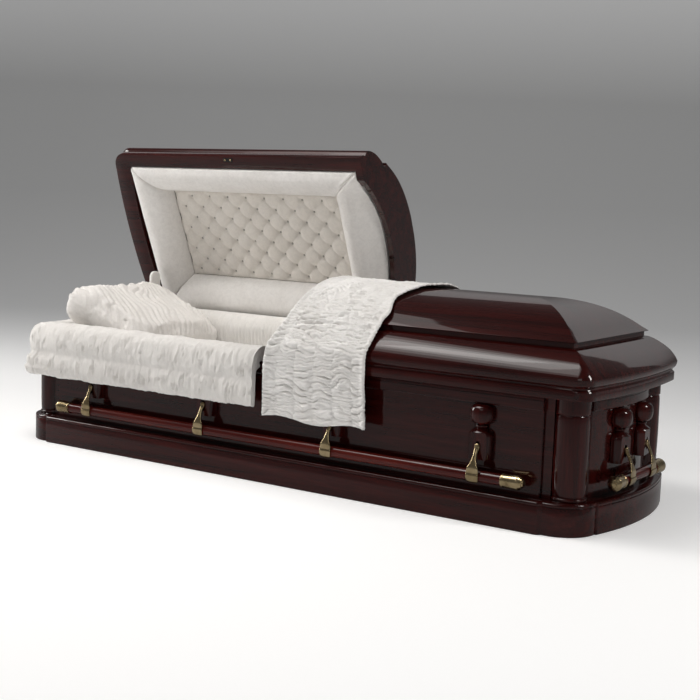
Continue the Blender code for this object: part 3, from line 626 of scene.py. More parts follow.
def side_place(x, sy):
    turn = 0.0 if sy < 0 else pi
    return Matrix.Translation((x, sy * (PANEL_Y + NOTCH_GAP), 0.0)) @ Matrix.Rotation(turn, 4, "Z")


def end_place(y, sx):
    lean = atan(2 * PANEL_BOW * y / STILE_Y ** 2)
    turn = pi / 2 + lean if sx > 0 else -pi / 2 - lean
    return Matrix.Translation((sx * (face_offset(y) + END_GAP), y, 0.0)) @ Matrix.Rotation(turn, 4, "Z")


def middle_of(name):
    low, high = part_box(name)
    return (low + high) / 2


places = {}
for side, sy in (("front", -1), ("back", 1)):
    for index in range(4):
        name = side + "_" + str(index + 1)
        places[name] = side_place(middle_of("baluster_" + name).x, sy)
for side, sx in (("head", -1), ("foot", 1)):
    for index, y in enumerate((-END_ARM_Y, END_ARM_Y)):
        places[side + "_" + str(index + 1)] = end_place(y, sx)
for name, place in places.items():
    mesh = baluster_mesh.copy()
    put("turned_baluster_" + name, mesh, "wood_z", "case", ["baluster_" + name], matrix=place,
        round_edge=0.0006)

# Swing handles: bars, tips and arms, in a frame with its origin on the pivot line and -Y outwards
PIVOT_Z = joints["front_handle_swing"]["pos_m"][2]
DROP = PIVOT_Z - BAR_Z
REACH = BAR_OUT - PIVOT_OUT
WRAP = BAR_RADIUS + 0.0012 + 0.002
ARM_LINE = [
    (0.0, 0.007, 0.007, 0.005),
    (0.0, 0.0046, 0.014, 0.0096),
    (-0.0004, 0.0, 0.0164, 0.0114),
    (-0.0018, -0.006, 0.0156, 0.0106),
    (-0.0052, -0.013, 0.013, 0.009),
    (-0.0096, -0.022, 0.012, 0.008),
    (-0.0142, -0.033, 0.014, 0.0068),
    (-0.0186, -0.043, 0.0192, 0.0056),
    (-0.0218, -0.052, 0.027, 0.0048),
    (-0.0234, -0.059, 0.0345, 0.0042),
]
for degrees, width in ((26, 0.0365), (10, ARM_SADDLE), (-15, ARM_SADDLE), (-42, 0.0345), (-62, 0.025),
        (-76, 0.013), (-84, 0.004)):
    turn = radians(degrees)
    ARM_LINE.append((-REACH - WRAP * cos(turn), -DROP + WRAP * sin(turn), width, 0.004))


def arm_mesh():
    """The arm, with an oval section at the knob that flattens into the saddle and its raised midrib."""
    line = curve_through(ARM_LINE, 5)
    rings = []
    for i, (y, z, width, thick) in enumerate(line):
        before = line[max(i - 1, 0)]
        after = line[min(i + 1, len(line) - 1)]
        along = Vector((0.0, after[0] - before[0], after[1] - before[1])).normalized()
        across = Vector((1.0, 0.0, 0.0)).cross(along).normalized()
        flat = clamp((width - thick) / 0.012)
        power = 1.0 - 0.45 * flat
        ring = []
        for k in range(28):
            turn = 2 * pi * k / 28
            side = powered(cos(turn), power)
            depth = powered(sin(turn), power)
            rib = 0.0007 * flat * bell(side * width / 2, 0.0, 0.0022) if depth > 0 else 0.0
            point = Vector((side * width / 2, y, z)) + across * (depth * thick / 2 + rib)
            ring.append(tuple(point))
        rings.append(ring)
    return skin("arm", rings)


TIP_RUN = [(0.0, -0.001), (0.0168, -0.001), (0.0186, -0.0002), (0.0192, 0.0012), (0.0192, 0.0042),
    (0.0186, 0.0054)]
TIP_RUN += [(0.0179, 0.006), (0.0181, 0.009), (0.0192, 0.025), (0.0203, 0.04), (TIP_RADIUS, 0.0445)]
TIP_RUN += [(TIP_RADIUS, 0.048), (0.0198, 0.0496), (0.0186, 0.0502), (0.015, 0.056), (0.0128, 0.0585),
    (0.0104, 0.059)]
TIP_RUN += [(0.01, 0.0605), (0.0094, 0.0626), (0.007, 0.0638), (0.0, TIP_LENGTH)]


def bar_run(half):
    """Profile of a bar, eased at its ends inside the tips."""
    eased_end = [(0.0, half), (BAR_RADIUS - 0.001, half), (BAR_RADIUS, half - 0.001)]
    return [(radius, -z) for radius, z in eased_end] + eased_end[::-1]


def handle(side, half, xs, turn, look):
    joint = joints[side + "_handle_swing"]
    frame_place = Matrix.Translation(joint["pos_m"]) @ Matrix.Rotation(turn, 4, "Z")
    body = joint["child"]
    centre = frame_place @ Matrix.Translation((0.0, -REACH, -DROP))
    right = Matrix.Rotation(pi / 2, 4, "Y")
    left = Matrix.Rotation(-pi / 2, 4, "Y")
    bar = turned("bar", bar_run(half - TIP_LENGTH + TIP_SOCKET - NOTCH_GAP), 48)
    put("grip_bar_" + side, bar, look, body, ["bar_" + side], matrix=centre @ right)
    shift = Matrix.Translation((0.0, 0.0, half - TIP_LENGTH))
    brass = "brass_x" if side in ("front", "back") else "brass"
    for number, direction in ((1, left), (2, right)):
        name = side + "_" + str(number)
        place = centre @ direction @ shift
        put("bar_tip_" + name, turned("tip", TIP_RUN, 48), brass, body, ["tip_" + name], matrix=place,
            sharp=40.0)
    for index, x in enumerate(xs):
        name = side + "_" + str(index + 1)
        place = frame_place @ Matrix.Translation((x, 0.0, 0.0))
        put("swing_arm_" + name, arm_mesh(), "brass", body, ["arm_" + name], matrix=place, sharp=60.0)


long_half = (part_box("tip_front_2")[1].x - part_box("tip_front_1")[0].x) / 2
short_half = (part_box("tip_foot_2")[1].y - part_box("tip_foot_1")[0].y) / 2
long_xs = [middle_of("arm_front_" + str(i + 1)).x for i in range(4)]
short_xs = (-END_ARM_Y, END_ARM_Y)
handle("front", long_half, long_xs, 0.0, "bar_x")
handle("back", long_half, long_xs, pi, "bar_x")
handle("foot", short_half, short_xs, pi / 2, "bar_y")
handle("head", short_half, short_xs, -pi / 2, "bar_y")


# Lids, a moulded two-tier crown on a rim frame with an arched header at the split
def lid_plan(cut_x, half_x, half_y, radius, bow):
    """Plan of one lid, from the split to its bowed outer end."""
    near = radius - half_y
    plan = [(cut_x, -half_y), (SIDE_BREAK, -half_y)]
    plan += arc(half_x - radius, near, radius, [-pi / 2 * (1 - share) for share in shares(10)])
    for part in shares(22, -0.93, 0.93):
        plan.append((half_x + bow * (1 - part * part), (half_y - radius) * part))
    plan += arc(half_x - radius, -near, radius, [pi / 2 * share for share in shares(10)])
    return plan + [(SIDE_BREAK, half_y), (cut_x, half_y)]


def crown(half_y):
    """Half length and height of the upper tier where it is this deep."""
    share = half_y / STEP_HALF_Y
    half_x = CREST_HALF_X + (STEP_HALF_X - CREST_HALF_X) * share
    height = CREST_Z - CREST_DROP * (0.72 * share ** 2 + 0.28 * share ** 4)
    return half_x, height


# Rows are how far the edge stands out from the rim, the corner's radius, and the height over the underside
RIM_ROWS = [(-0.003, 0.05, 0.0), (-0.0008, 0.05, 0.0008), (0.0, 0.05, 0.003), (0.0, 0.05, 0.0235)]
RIM_ROWS += [(-0.001, 0.05, 0.0262), (-0.004, 0.048, 0.0282), (-0.0052, 0.047, 0.0305),
    (-0.0052, 0.046, 0.0335)]
BULGE_ROWS = [(-0.004, 0.046, 0.0352), (0.0008, 0.044, 0.0415), (0.003, 0.042, 0.05), (0.0027, 0.038, 0.057)]
# Rows are half length, half depth, corner radius, bow and height
DOME_ROWS = [(1.0377, 0.3367, 0.038, 0.018, 0.4185), (1.03, 0.33, 0.03, 0.0165, 0.432),
    (1.013, 0.3155, 0.018, 0.012, 0.452)]
DOME_ROWS += [(0.992, 0.296, 0.009, 0.007, 0.4695), (0.973, 0.277, 0.005, 0.003, 0.4825),
    (0.964, 0.268, 0.0035, 0.001, 0.487)]
STEP_EDGE = [(0.959, 0.264, 0.4886), (0.953, 0.258, 0.4892), (0.95, 0.255, 0.49), (0.95, 0.255, 0.502)]
STEP_EDGE += [(0.952, 0.257, 0.5034), (0.9585, 0.2635, 0.504), (0.9592, 0.2642, 0.5048),
    (0.959, 0.264, 0.5056)]
STEP_EDGE += [(0.9582, 0.2632, 0.5063)]
STEP_ROWS = [(half_x, half_y, 0.003, 0.0, z) for half_x, half_y, z in STEP_EDGE]


def lid_rings(cut_x, rim_side, rim_end):
    rings = []
    inner = cut_x + HEADER
    for half_y in (0.035, 0.075, 0.115, 0.15, 0.185, 0.215, 0.24):
        half_x, height = crown(half_y)
        plan = lid_plan(inner, half_x - 0.01, half_y, 0.003, 0.0)
        rings.append(at_height(plan, height - LID_WALL - 0.004 * half_y / 0.24))
    for row in ((0.972, 0.276, 0.006, 0.004, 0.458), (1.005, 0.305, 0.025, 0.012, 0.428),
            (1.012, 0.312, 0.03, 0.016, 0.405)):
        rings.append(at_height(lid_plan(inner, *row[:4]), row[4]))
    rim_top = LID_BOTTOM + RIM_HEIGHT
    rings.append(at_height(lid_plan(inner, 1.012, 0.312, 0.03, 0.016), rim_top))
    in_x = LID_HALF_X - rim_end
    in_y = LID_HALF_Y - rim_side
    for grow, rise in ((0.0, RIM_HEIGHT), (0.0, 0.003), (0.001, 0.0008), (0.003, 0.0)):
        plan = lid_plan(inner + LEDGE, in_x + grow, in_y + grow, 0.02 + grow, LID_BOW)
        rings.append(at_height(plan, LID_BOTTOM + rise))
    for grow, radius, rise in RIM_ROWS + curve_through(BULGE_ROWS, 3):
        plan = lid_plan(cut_x, LID_HALF_X + grow, LID_HALF_Y + grow, radius, LID_BOW)
        rings.append(at_height(plan, LID_BOTTOM + rise))
    for row in curve_through(DOME_ROWS, 3) + STEP_ROWS:
        rings.append(at_height(lid_plan(cut_x, *row[:4]), row[4]))
    for step in range(1, 17):
        left = 1 - step / 18
        half_x, height = crown(STEP_HALF_Y * left)
        plan = lid_plan(cut_x, half_x, STEP_HALF_Y * left, 0.003 * left + 0.0008, 0.0)
        rings.append(at_height(plan, height))
    return rings


ARCH_RADIUS = (ARCH_HALF ** 2 + ARCH_RISE ** 2) / (2 * ARCH_RISE)


def arch_tool(low_x, high_x):
    spread = asin(ARCH_HALF / ARCH_RADIUS)
    plan = [(-ARCH_HALF, LID_BOTTOM - 0.02), (ARCH_HALF, LID_BOTTOM - 0.02)]
    for share in shares(48, 1.0, -1.0):
        turn = spread * share
        top = LID_BOTTOM - 0.001 + ARCH_RISE - ARCH_RADIUS + ARCH_RADIUS * cos(turn)
        plan.append((ARCH_RADIUS * sin(turn), top))
    return skin("arch", [[(x, y, z) for y, z in plan] for x in (low_x, high_x)])


def lid_mesh(cut_x):
    shell = skin("lid", lid_rings(cut_x, RIM_SIDE, RIM_END))
    return carved(shell, arch_tool(cut_x - 0.02, cut_x + HEADER + LEDGE + 0.004))


mirrored = Matrix.Scale(-1.0, 4, Vector((1.0, 0.0, 0.0)))
put("foot_lid_shell", lid_mesh(FOOT_CUT), "wood_x", "foot_lid_body", ["foot_lid"], sharp=24.0)
put("head_lid_shell", lid_mesh(-HEAD_CUT), "wood_x", "head_lid_body", ["head_lid"], sharp=24.0,
    matrix=SWUNG @ mirrored)

# The floor board and its battens keep their own mesh, with eased edges
kept = frame["nodes"]["floor"]
kept.data.materials.clear()
kept.data.materials.append(LOOKS["raw_wood"])
edge = kept.modifiers.new("edge", "BEVEL")
edge.width = 0.001
edge.segments = 2
edge.limit_method = "ANGLE"


# Soft parts. Folds are ridges with pinched valleys whose spacing wanders
def wander(x, y=0.0, z=0.0):
    return noise.noise(Vector((x, y, z)))


def ridge(distance, pitch, drift):
    """One run of rounded folds with sharp valleys, from 0 in a valley to 1 on a fold."""
    return abs(sin(pi * distance / pitch + drift))


def loop_normals(section):
    """Unit vectors out of a closed two-number section, and the distance round it to each point."""
    count = len(section)
    pairs = [(section[i], section[(i + 1) % count]) for i in range(count)]
    turn = sum(a[0] * b[1] - b[0] * a[1] for a, b in pairs)
    sign = 1.0 if turn > 0 else -1.0
    normals = []
    along = [0.0]
    for i in range(count):
        before = Vector(section[i - 1])
        after = Vector(section[(i + 1) % count])
        way = (after - before).normalized()
        normals.append((sign * way.y, -sign * way.x))
        if i:
            along.append(along[-1] + (Vector(section[i]) - Vector(section[i - 1])).length)
    return normals, along


# Apron: a gathered two-lobed roll turned out over the top frame, in three pieces that share their end rings
APRON_TURN = 0.038
APRON_START = -0.026
APRON_CORNER_RUN = 0.14
APRON_CORNER = Vector((-0.955, -PANEL_Y + APRON_TURN))
APRON_SECTION = [
    (-0.035, 0.003), (-0.045, 0.0225), (-0.02, 0.0425), (0.015, 0.0455), (0.046, 0.03), (0.061, -0.0055),
    (0.063, -0.034), (0.0598, -0.054), (0.0636, -0.074), (0.064, -0.108), (0.055, -0.13), (0.043, -0.126),
    (0.0425, -0.061), (0.04, -0.026), (0.023, -0.014), (0.022, 0.003),
]
APRON_STEPS = 5
APRON_GATHER = 7 * APRON_STEPS
apron_section = smooth_loop(APRON_SECTION, APRON_STEPS)
apron_out, apron_run = loop_normals(apron_section)


def apron_path():
    """Stations round the head half as (distance, foot, outward way), and where the three pieces meet."""
    stations = []
    distance = 0.0
    for share in shares(235):
        x = APRON_START + (APRON_CORNER.x - APRON_START) * share
        stations.append((distance - (x - APRON_START), Vector((x, -PANEL_Y)), Vector((0.0, -1.0))))
    distance = stations[-1][0]
    first = len(stations) - 1
    for share in shares(32)[1:]:
        turn = -pi / 2 * (1 + share)
        way = Vector((cos(turn), sin(turn)))
        stations.append((distance + share * APRON_CORNER_RUN, APRON_CORNER + way * APRON_TURN, way))
    distance = stations[-1][0]
    second = len(stations) - 1
    for share in shares(114)[1:]:
        y = APRON_CORNER.y + (STILE_Y - 0.006 - APRON_CORNER.y) * share
        bulge = PANEL_BOW * max(0.0, 1 - (y / STILE_Y) ** 2)
        foot = Vector((-PANEL_X - 0.002 - bulge, y))
        stations.append((distance + y - APRON_CORNER.y, foot, Vector((-1.0, 0.0))))
    return stations, first, second


def band(value, middle, half):
    """One in the middle of a band, falling smoothly to nothing at its edges."""
    return max(0.0, cos(pi / 2 * min(1.0, abs(value - middle) / half))) ** 1.3


def apron_fold(distance, index):
    """How far the cloth stands out of its section here: short puckers over each lobe, calmer between them."""
    run = apron_run[index]
    if index > 11 * APRON_STEPS or index < 1:
        return 0.0
    upper = band(run, apron_run[5 * APRON_STEPS], 0.07)
    lower = band(run, apron_run[9 * APRON_STEPS] - 0.01, 0.05)
    drift = 3.2 * wander(distance * 17.0, run * 9.0, 1.3)
    fine = ridge(distance, 0.0108, drift + 1.6 * wander(distance * 60.0, run * 48.0))
    shift = 2.0 if run > apron_run[APRON_GATHER] else 0.0
    coarse = ridge(distance, 0.027, 3.0 * wander(distance * 11.0, run * 14.0, 4.0) + shift)
    broken = max(0.0, 0.62 + 1.3 * wander(distance * 30.0, run * 24.0, 9.0))
    puckers = (0.9 * upper + 1.3 * lower) * broken * (0.0074 * (fine ** 0.8 - 0.72) + 0.003 * (coarse - 0.55))
    gather = bell(run, apron_run[APRON_GATHER], 0.007)
    lump = 0.003 * wander(distance * 13.0, run * 17.0, 2.0)
    lump += 0.0024 * wander(distance * 52.0, run * 46.0, 6.0)
    return puckers + lump * (1 - 0.6 * gather) - 0.001 * gather * fine


def apron_ring(station):
    distance, foot, way = station
    ring = []
    sway = 0.005 * wander(distance * 5.0, 7.0)
    slump = eased(clamp((distance - 0.8) / 0.16))
    for index, (out, rise) in enumerate(apron_section):
        off = apron_fold(distance, index)
        hang = max(0.0, -rise) / 0.13
        outer = clamp((out - 0.01) / 0.04) if index < 9 * APRON_STEPS else 0.0
        drop = slump * outer * (0.016 if rise > -0.07 else 0.008)
        reach = out + off * apron_out[index][0] + sway * hang - drop
        if (foot - APRON_CORNER).length < APRON_TURN + 0.001:
            reach = max(reach, 0.004 - APRON_TURN)
        sag = slump * 0.01 * max(0.0, rise) / 0.045
        height = CASE_TOP + rise + off * apron_out[index][1] + 0.6 * sway * hang - sag
        place = foot + way * reach
        ring.append((place.x, place.y, height))
    return ring


apron_stations, apron_first, apron_second = apron_path()
apron_rings = [apron_ring(station) for station in apron_stations]
diagonal = (-sqrt(0.5), -sqrt(0.5), 0.0)
APRON_PIECES = (
    ("apron_roll_front", apron_rings[:apron_first + 1], ["apron_front"], (0.0, -1.0, 0.0),
        (0.0, -0.243, 0.36)),
    ("apron_roll_corner", apron_rings[apron_first:apron_second + 1], ["apron_front", "apron_head"], diagonal,
        (-0.905, -0.215, 0.36)),
    ("apron_roll_head", apron_rings[apron_second:], ["apron_head"], (-1.0, 0.0, 0.0), (-0.936, 0.0, 0.36)),
)
GUSSET = [(0.0, 0.0006), (0.052, 0.0006), (0.062, 0.005), (0.06, 0.011), (0.046, 0.0185), (0.024, 0.0225),
    (0.0, 0.0235)]
gusset_place = Matrix.Translation((APRON_CORNER.x + 0.026, APRON_CORNER.y + 0.022, CASE_TOP))
corner_fill = moved(turned("gusset", GUSSET), gusset_place)
for name, rings, stands_for, axis, anchor in APRON_PIECES:
    mesh = skin(name, rings)
    if name == "apron_roll_corner":
        mesh = joined(name, [mesh, corner_fill])
    flattened(soft(name, mesh, "cloth_apron_painted_shade", "case", stands_for))


# Throw over the head end of the foot lid: wrinkles run across it between vertical gather lines
THROW_LIFT = 0.0075
THROW_THICK = 0.0018
THROW_TOP = (0.2, 0.13, 0.06, 0.0, -0.06, -0.13, -0.2)
throw_rows = [(half_y, crown(abs(half_y))[1] + THROW_LIFT) for half_y in THROW_TOP]
throw_rows.append((-0.245, crown(0.245)[1] + THROW_LIFT + 0.003))
throw_rows += [(-0.272, 0.5095), (-0.302, 0.479), (-0.333, 0.444), (-0.3475, 0.415), (-0.3475, 0.36),
    (-0.345, 0.3)]
throw_rows += [(-0.344, 0.24), (-0.344, 0.206)]
throw_line = curve_through(throw_rows, 16)
throw_run = [0.0]
for before, after in zip(throw_line, throw_line[1:]):
    throw_run.append(throw_run[-1] + (Vector(after) - Vector(before)).length)
THROW_LENGTH = throw_run[-1]
THROW_LEFT = [(0.0, 0.002), (0.2, -0.003), (0.34, 0.004), (0.46, 0.022), (0.55, 0.036), (0.66, 0.016),
    (0.8, -0.014), (0.92, -0.027), (1.0, -0.03)]
THROW_RIGHT = [(0.0, 0.385), (0.2, 0.405), (0.34, 0.372), (0.46, 0.352), (0.55, 0.372), (0.66, 0.37),
    (0.8, 0.366), (0.92, 0.369), (1.0, 0.371)]
THROW_COLUMNS = (0.13, 0.31, 0.5, 0.69, 0.87)
THROW_DOWN = 336
THROW_ACROSS = 130


def between(table, share):
    """A value between the rows of a two-column table."""
    for low, high in zip(table, table[1:]):
        if share <= high[0]:
            return low[1] + (high[1] - low[1]) * eased((share - low[0]) / (high[0] - low[0]))
    return table[-1][1]


def throw_base(share):
    """Point and outward direction on the throw's line at this share of its length."""
    target = share * THROW_LENGTH
    index = min(max(i for i, run in enumerate(throw_run) if run <= target), len(throw_line) - 2)
    part = (target - throw_run[index]) / (throw_run[index + 1] - throw_run[index])
    low = Vector(throw_line[index])
    high = Vector(throw_line[index + 1])
    way = (high - low).normalized()
    return low + (high - low) * part, Vector((way.y, -way.x))


throw_bases = [throw_base(share) for share in shares(THROW_DOWN)]


def throw_fold(across, down):
    """How far the cloth stands off its line: swags that break at the gather columns, a few running on."""
    length = down * THROW_LENGTH
    near = min(abs(across - column + 0.026 * wander(length * 11.0, column * 7.0)) for column in THROW_COLUMNS)
    cell = sum(1 for column in THROW_COLUMNS if across > column)
    pinch = bell(near, 0.0, 0.022)
    lean = 3.6 * wander(across * 6.0, length * 8.0, 3.0) + 1.1 * cell
    coarse = ridge(length, 0.024, lean + 2.6 * wander(across * 5.0, length * 22.0, 1.0 * cell))
    fine = ridge(length, 0.0105, 3.0 * wander(across * 13.0, length * 26.0, 8.0) + 0.8 * cell)
    swell = max(0.0, 0.6 + 1.2 * wander(across * 10.0, length * 28.0, 5.0 + 0.3 * cell))
    hang = 0.62 + 0.38 * clamp((down - 0.3) / 0.2)
    edge = min(across, 1 - across)
    inner = 1 - 0.75 * exp(-edge / 0.028)
    swags = 0.0108 * (coarse ** 0.65 - 0.55) * swell + 0.004 * (fine ** 0.8 - 0.6)
    body = swags * (1 - 0.3 * pinch) * hang * inner
    ticks = 0.0026 * (ridge(length, 0.0085, 1.8 * wander(length * 30.0, cell)) - 0.5) * pinch * inner
    roll = 0.005 * bell(edge, 0.018, 0.022) + 0.0016 * exp(-edge / 0.05) * (fine - 0.6)
    return body + ticks - 0.0016 * pinch * inner + roll


def throw_point(i, j, front):
    across = i / THROW_ACROSS
    down = j / THROW_DOWN
    point, out = throw_bases[j]
    low = between(THROW_LEFT, down) + 0.0035 * wander(down * 15.0, 2.0)
    low = max(low, FOOT_CUT + 0.0025 - 0.038 * eased(clamp((down - 0.6) / 0.24)))
    high = between(THROW_RIGHT, down) + 0.003 * wander(down * 17.0, 5.0)
    off = throw_fold(across, down) + (THROW_THICK if front else 0.0)
    hem = 0.007 * sin(across * 9.0) * max(0.0, (down - 0.93) / 0.07)
    return (low + (high - low) * across, point.x + out.x * off, point.y + out.y * off + hem)


throw_mesh = sheet_mesh("throw", THROW_ACROSS, THROW_DOWN, throw_point)
throw = put("throw_drape", throw_mesh, "cloth_throw", "foot_lid_body", ["throw"], sharp=80.0)
flattened(throw)


# Head lid lining: four mitred bolsters round a diamond-tufted panel, drawn closed and then swung open
LINING_LOW_X = -(LID_HALF_X - RIM_END - 0.002)
LINING_HIGH_X = HEAD_CUT - HEADER - LEDGE - 0.0009
LINING_HALF_Y = LID_HALF_Y - RIM_SIDE - 0.002
TUFT_LOW_X = LINING_LOW_X + 0.105
TUFT_HIGH_X = LINING_HIGH_X - 0.137
TUFT_HALF_Y = LINING_HALF_Y - 0.112
TUFT_Z = LID_BOTTOM + 0.086
BOLSTER = [
    (0.0, 0.016), (0.008, 0.004), (0.06, -0.0006), (0.3, -0.003), (0.52, 0.0036), (0.74, 0.019), (0.9, 0.042),
    (0.985, 0.064), (1.0, 0.085), (0.6, 0.088), (0.25, 0.056), (0.03, 0.04),
]
BOLSTER_SIDES = (110, 48, 110, 48)
bolster_section = smooth_loop(BOLSTER, 4)


def arch_rise(y):
    """Height of the header's arched opening above the lid's underside."""
    if abs(y) >= ARCH_HALF:
        return 0.0
    return ARCH_RISE - ARCH_RADIUS + sqrt(ARCH_RADIUS ** 2 - y ** 2)


def bolster_ring(share, rise, index):
    low = LINING_LOW_X + (TUFT_LOW_X - LINING_LOW_X) * share
    high = LINING_HIGH_X + (TUFT_HIGH_X - LINING_HIGH_X) * share
    half = LINING_HALF_Y + (TUFT_HALF_Y - LINING_HALF_Y) * share
    corners = ((low, -half), (high, -half), (high, half), (low, half))
    visible = 1.0 if index < 8 * 4 else 0.0
    ring = []
    for side, count in enumerate(BOLSTER_SIDES):
        start = Vector(corners[side])
        end = Vector(corners[(side + 1) % 4])
        length = (end - start).length
        for k in range(count):
            ease = k / count
            part = ease - 0.1 * sin(2 * pi * ease)
            place = start + (end - start) * part
            near = min(part, 1 - part) * length
            seam = 0.005 * bell(near, 0.0, 0.0045) - 0.0016 * bell(near, 0.014, 0.009)
            ripple = 0.0016 * wander(place.x * 11.0, place.y * 11.0, share * 3.0)
            ripple += 0.0007 * exp(-near / 0.03) * sin(near * 700.0 + 4 * share)
            height = rise + visible * (seam + ripple)
            if side == 1:
                follow = max(0.0, 1 - share) ** 1.1 * (1 - min(1.0, abs(place.y) / half) ** 5)
                dip = 0.01 * sin(pi * min(1.0, share)) * visible
                top = arch_rise(place.y) + (0.002 if visible else 0.012) - dip
                height += max(0.0, top - height) * follow
            ring.append((place.x, place.y, LID_BOTTOM + height))
    return ring


bolster_rings = [bolster_ring(share, rise, index) for index, (share, rise) in enumerate(bolster_section)]
bolsters = skin("bolsters", bolster_rings, around=True)
bolsters = soft("lid_bolsters", bolsters, "cloth", "head_lid_body", ["head_lid_bolsters"], 70.0, SWUNG)
flattened(bolsters)

# Diamond tufts: buttons on a staggered lattice, deep folds running between them
TUFT_PITCH_X = 0.082
TUFT_PITCH_Y = 0.083
TUFT_STEP = 0.0033
tuft_across = round((TUFT_HIGH_X - TUFT_LOW_X) / TUFT_STEP)
tuft_down = round(2 * TUFT_HALF_Y / TUFT_STEP)
tuft_middle = (TUFT_LOW_X + TUFT_HIGH_X) / 2


def tuft_lattice(x, y):
    u = (x - tuft_middle) / TUFT_PITCH_X
    v = (y + TUFT_PITCH_Y / 4) / TUFT_PITCH_Y
    return u + v, u - v


def tuft_rise(x, y):
    """How far the padding bulges towards the open side."""
    a, b = tuft_lattice(x, y)
    puff = (abs(sin(pi * a)) * abs(sin(pi * b))) ** 0.36
    da = a - round(a)
    db = b - round(b)
    away = hypot((da + db) / 2 * TUFT_PITCH_X, (da - db) / 2 * TUFT_PITCH_Y)
    crease = min(abs(da), abs(db))
    pleat = 0.0008 * sin(away * 900.0) * exp(-away / 0.012) * exp(-crease / 0.1)
    edge = min(x - TUFT_LOW_X, TUFT_HIGH_X - x, TUFT_HALF_Y - abs(y))
    rim = 1 - exp(-max(edge, 0.0) / 0.006)
    hollow = 1 - bell(away, 0.0, 0.011)
    return rim * (0.0068 * puff + 0.0075 * hollow) + pleat + 0.0006 * wander(x * 30.0, y * 30.0)


def tuft_point(i, j, front):
    x = TUFT_LOW_X + (TUFT_HIGH_X - TUFT_LOW_X) * i / tuft_across
    y = TUFT_HALF_Y * (2 * j / tuft_down - 1)
    if not front:
        return (x, y, TUFT_Z + 0.006)
    return (x, y, TUFT_Z + 0.001 - tuft_rise(x, y))


tufts = sheet_mesh("tufts", tuft_across, tuft_down, tuft_point)
soft("tufted_panel", tufts, "cloth_tufted_painted_shade", "head_lid_body", ["head_lid_tufted_panel"], 80.0, SWUNG)

BUTTON = [(0.0, -0.002), (0.002, -0.0018), (0.0036, -0.001), (0.0042, 0.0004), (0.0036, 0.0014),
    (0.0, 0.0016)]
button_spots = []
for row in range(-5, 6):
    for column in range(-10, 11):
        x = tuft_middle + column * TUFT_PITCH_X / 2
        y = (row + 0.5) * TUFT_PITCH_Y / 2 - TUFT_PITCH_Y / 2
        a, b = tuft_lattice(x, y)
        on_lattice = abs(a - round(a)) < 0.01 and abs(b - round(b)) < 0.01
        if on_lattice and TUFT_LOW_X + 0.012 < x < TUFT_HIGH_X - 0.012 and abs(y) < TUFT_HALF_Y - 0.01:
            button_spots.append((x, y, TUFT_Z - 0.0016))
buttons = [moved(turned("button", BUTTON, 18), Matrix.Translation(spot)) for spot in button_spots]
# The buttons' dark colour is painted shade of the tuft pits, not a different cloth
put("tuft_buttons", joined("buttons", buttons), "cloth_button_painted_shade", "head_lid_body", matrix=SWUNG, sharp=70.0)


# Foot lid lining: a plain padded panel with a soft crown and a stitched border
pad_low, pad_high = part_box("foot_lid_lining")
PAD_ACROSS = 240
PAD_DOWN = 110


def pad_point(i, j, front):
    x = pad_low.x + (pad_high.x - pad_low.x) * i / PAD_ACROSS
    y = pad_low.y + (pad_high.y - pad_low.y) * j / PAD_DOWN
    edge = min(x - pad_low.x, pad_high.x - x, y - pad_low.y, pad_high.y - y)
    puffed = 1 - exp(-edge / 0.012)
    if not front:
        return (x, y, pad_high.z - 0.002 * (1 - puffed))
    border = 0.0035 * bell(edge, 0.055, 0.003)
    pleats = 0.0022 * (ridge(x, 0.0145, 2.5 * wander(x * 16.0, y * 5.0)) - 0.5)
    pleats *= 1 if edge > 0.055 else 0.25
    z = pad_low.z + 0.005 - 0.0042 * puffed + border - pleats * puffed + 0.001 * wander(x * 14.0, y * 14.0)
    return (x, y, z)


pad_mesh = sheet_mesh("pad", PAD_ACROSS, PAD_DOWN, pad_point)
soft("foot_lid_pad", pad_mesh, "cloth_pleated", "foot_lid_body", ["foot_lid_lining"])


# Case lining: shirred cloth round the inside of the case, down to the bed
liner_low, liner_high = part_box("interior_lining")
bed_low, bed_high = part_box("mattress")


def interior_plan(inset):
    return case_plans(RAIL_OUT, WALL + RAIL_IN + 0.0006 + inset)[1]


def resampled(plan, step):
    """Points at even steps round a closed plan, with the distance to each."""
    result = []
    travelled = 0.0
    for start, end in zip(plan, plan[1:] + plan[:1]):
        start = Vector(start)
        end = Vector(end)
        length = (end - start).length
        count = max(1, round(length / step))
        for k in range(count):
            result.append((start + (end - start) * k / count, travelled + length * k / count))
        travelled += length
    return result


outer_plan = resampled(interior_plan(0.0), 0.0042)
inward = []
for index, (place, distance) in enumerate(outer_plan):
    before = outer_plan[index - 1][0]
    after = outer_plan[(index + 1) % len(outer_plan)][0]
    way = (after - before).normalized()
    inward.append(Vector((-way.y, way.x)))

LINER_ROWS = [(0.0, liner_low.z), (0.0, liner_high.z - 0.003), (0.003, liner_high.z), (0.009, liner_high.z)]
LINER_ROWS.append((0.0125, liner_high.z - 0.004))
LINER_ROWS += [(0.0128, liner_high.z - 0.004 - 0.0095 * k) for k in range(1, 9)]
LINER_ROWS += [(0.0125, 0.2), (0.0125, liner_low.z)]


def liner_ring(inset, z):
    ring = []
    for (place, distance), way in zip(outer_plan, inward):
        off = inset
        if inset > 0.01:
            top = exp(-(liner_high.z - z) / 0.014)
            pleat = 1 - ridge(distance, 0.0125, 3.0 * wander(distance * 15.0, z * 9.0))
            off -= 0.0036 * pleat * (0.5 + 0.5 * top)
        spot = place + way * off
        ring.append((spot.x, spot.y, z))
    return ring


liner_mesh = skin("liner", [liner_ring(inset, z) for inset, z in LINER_ROWS], around=True)
soft("shirred_lining", liner_mesh, "cloth_shirred", "case", ["interior_lining"])

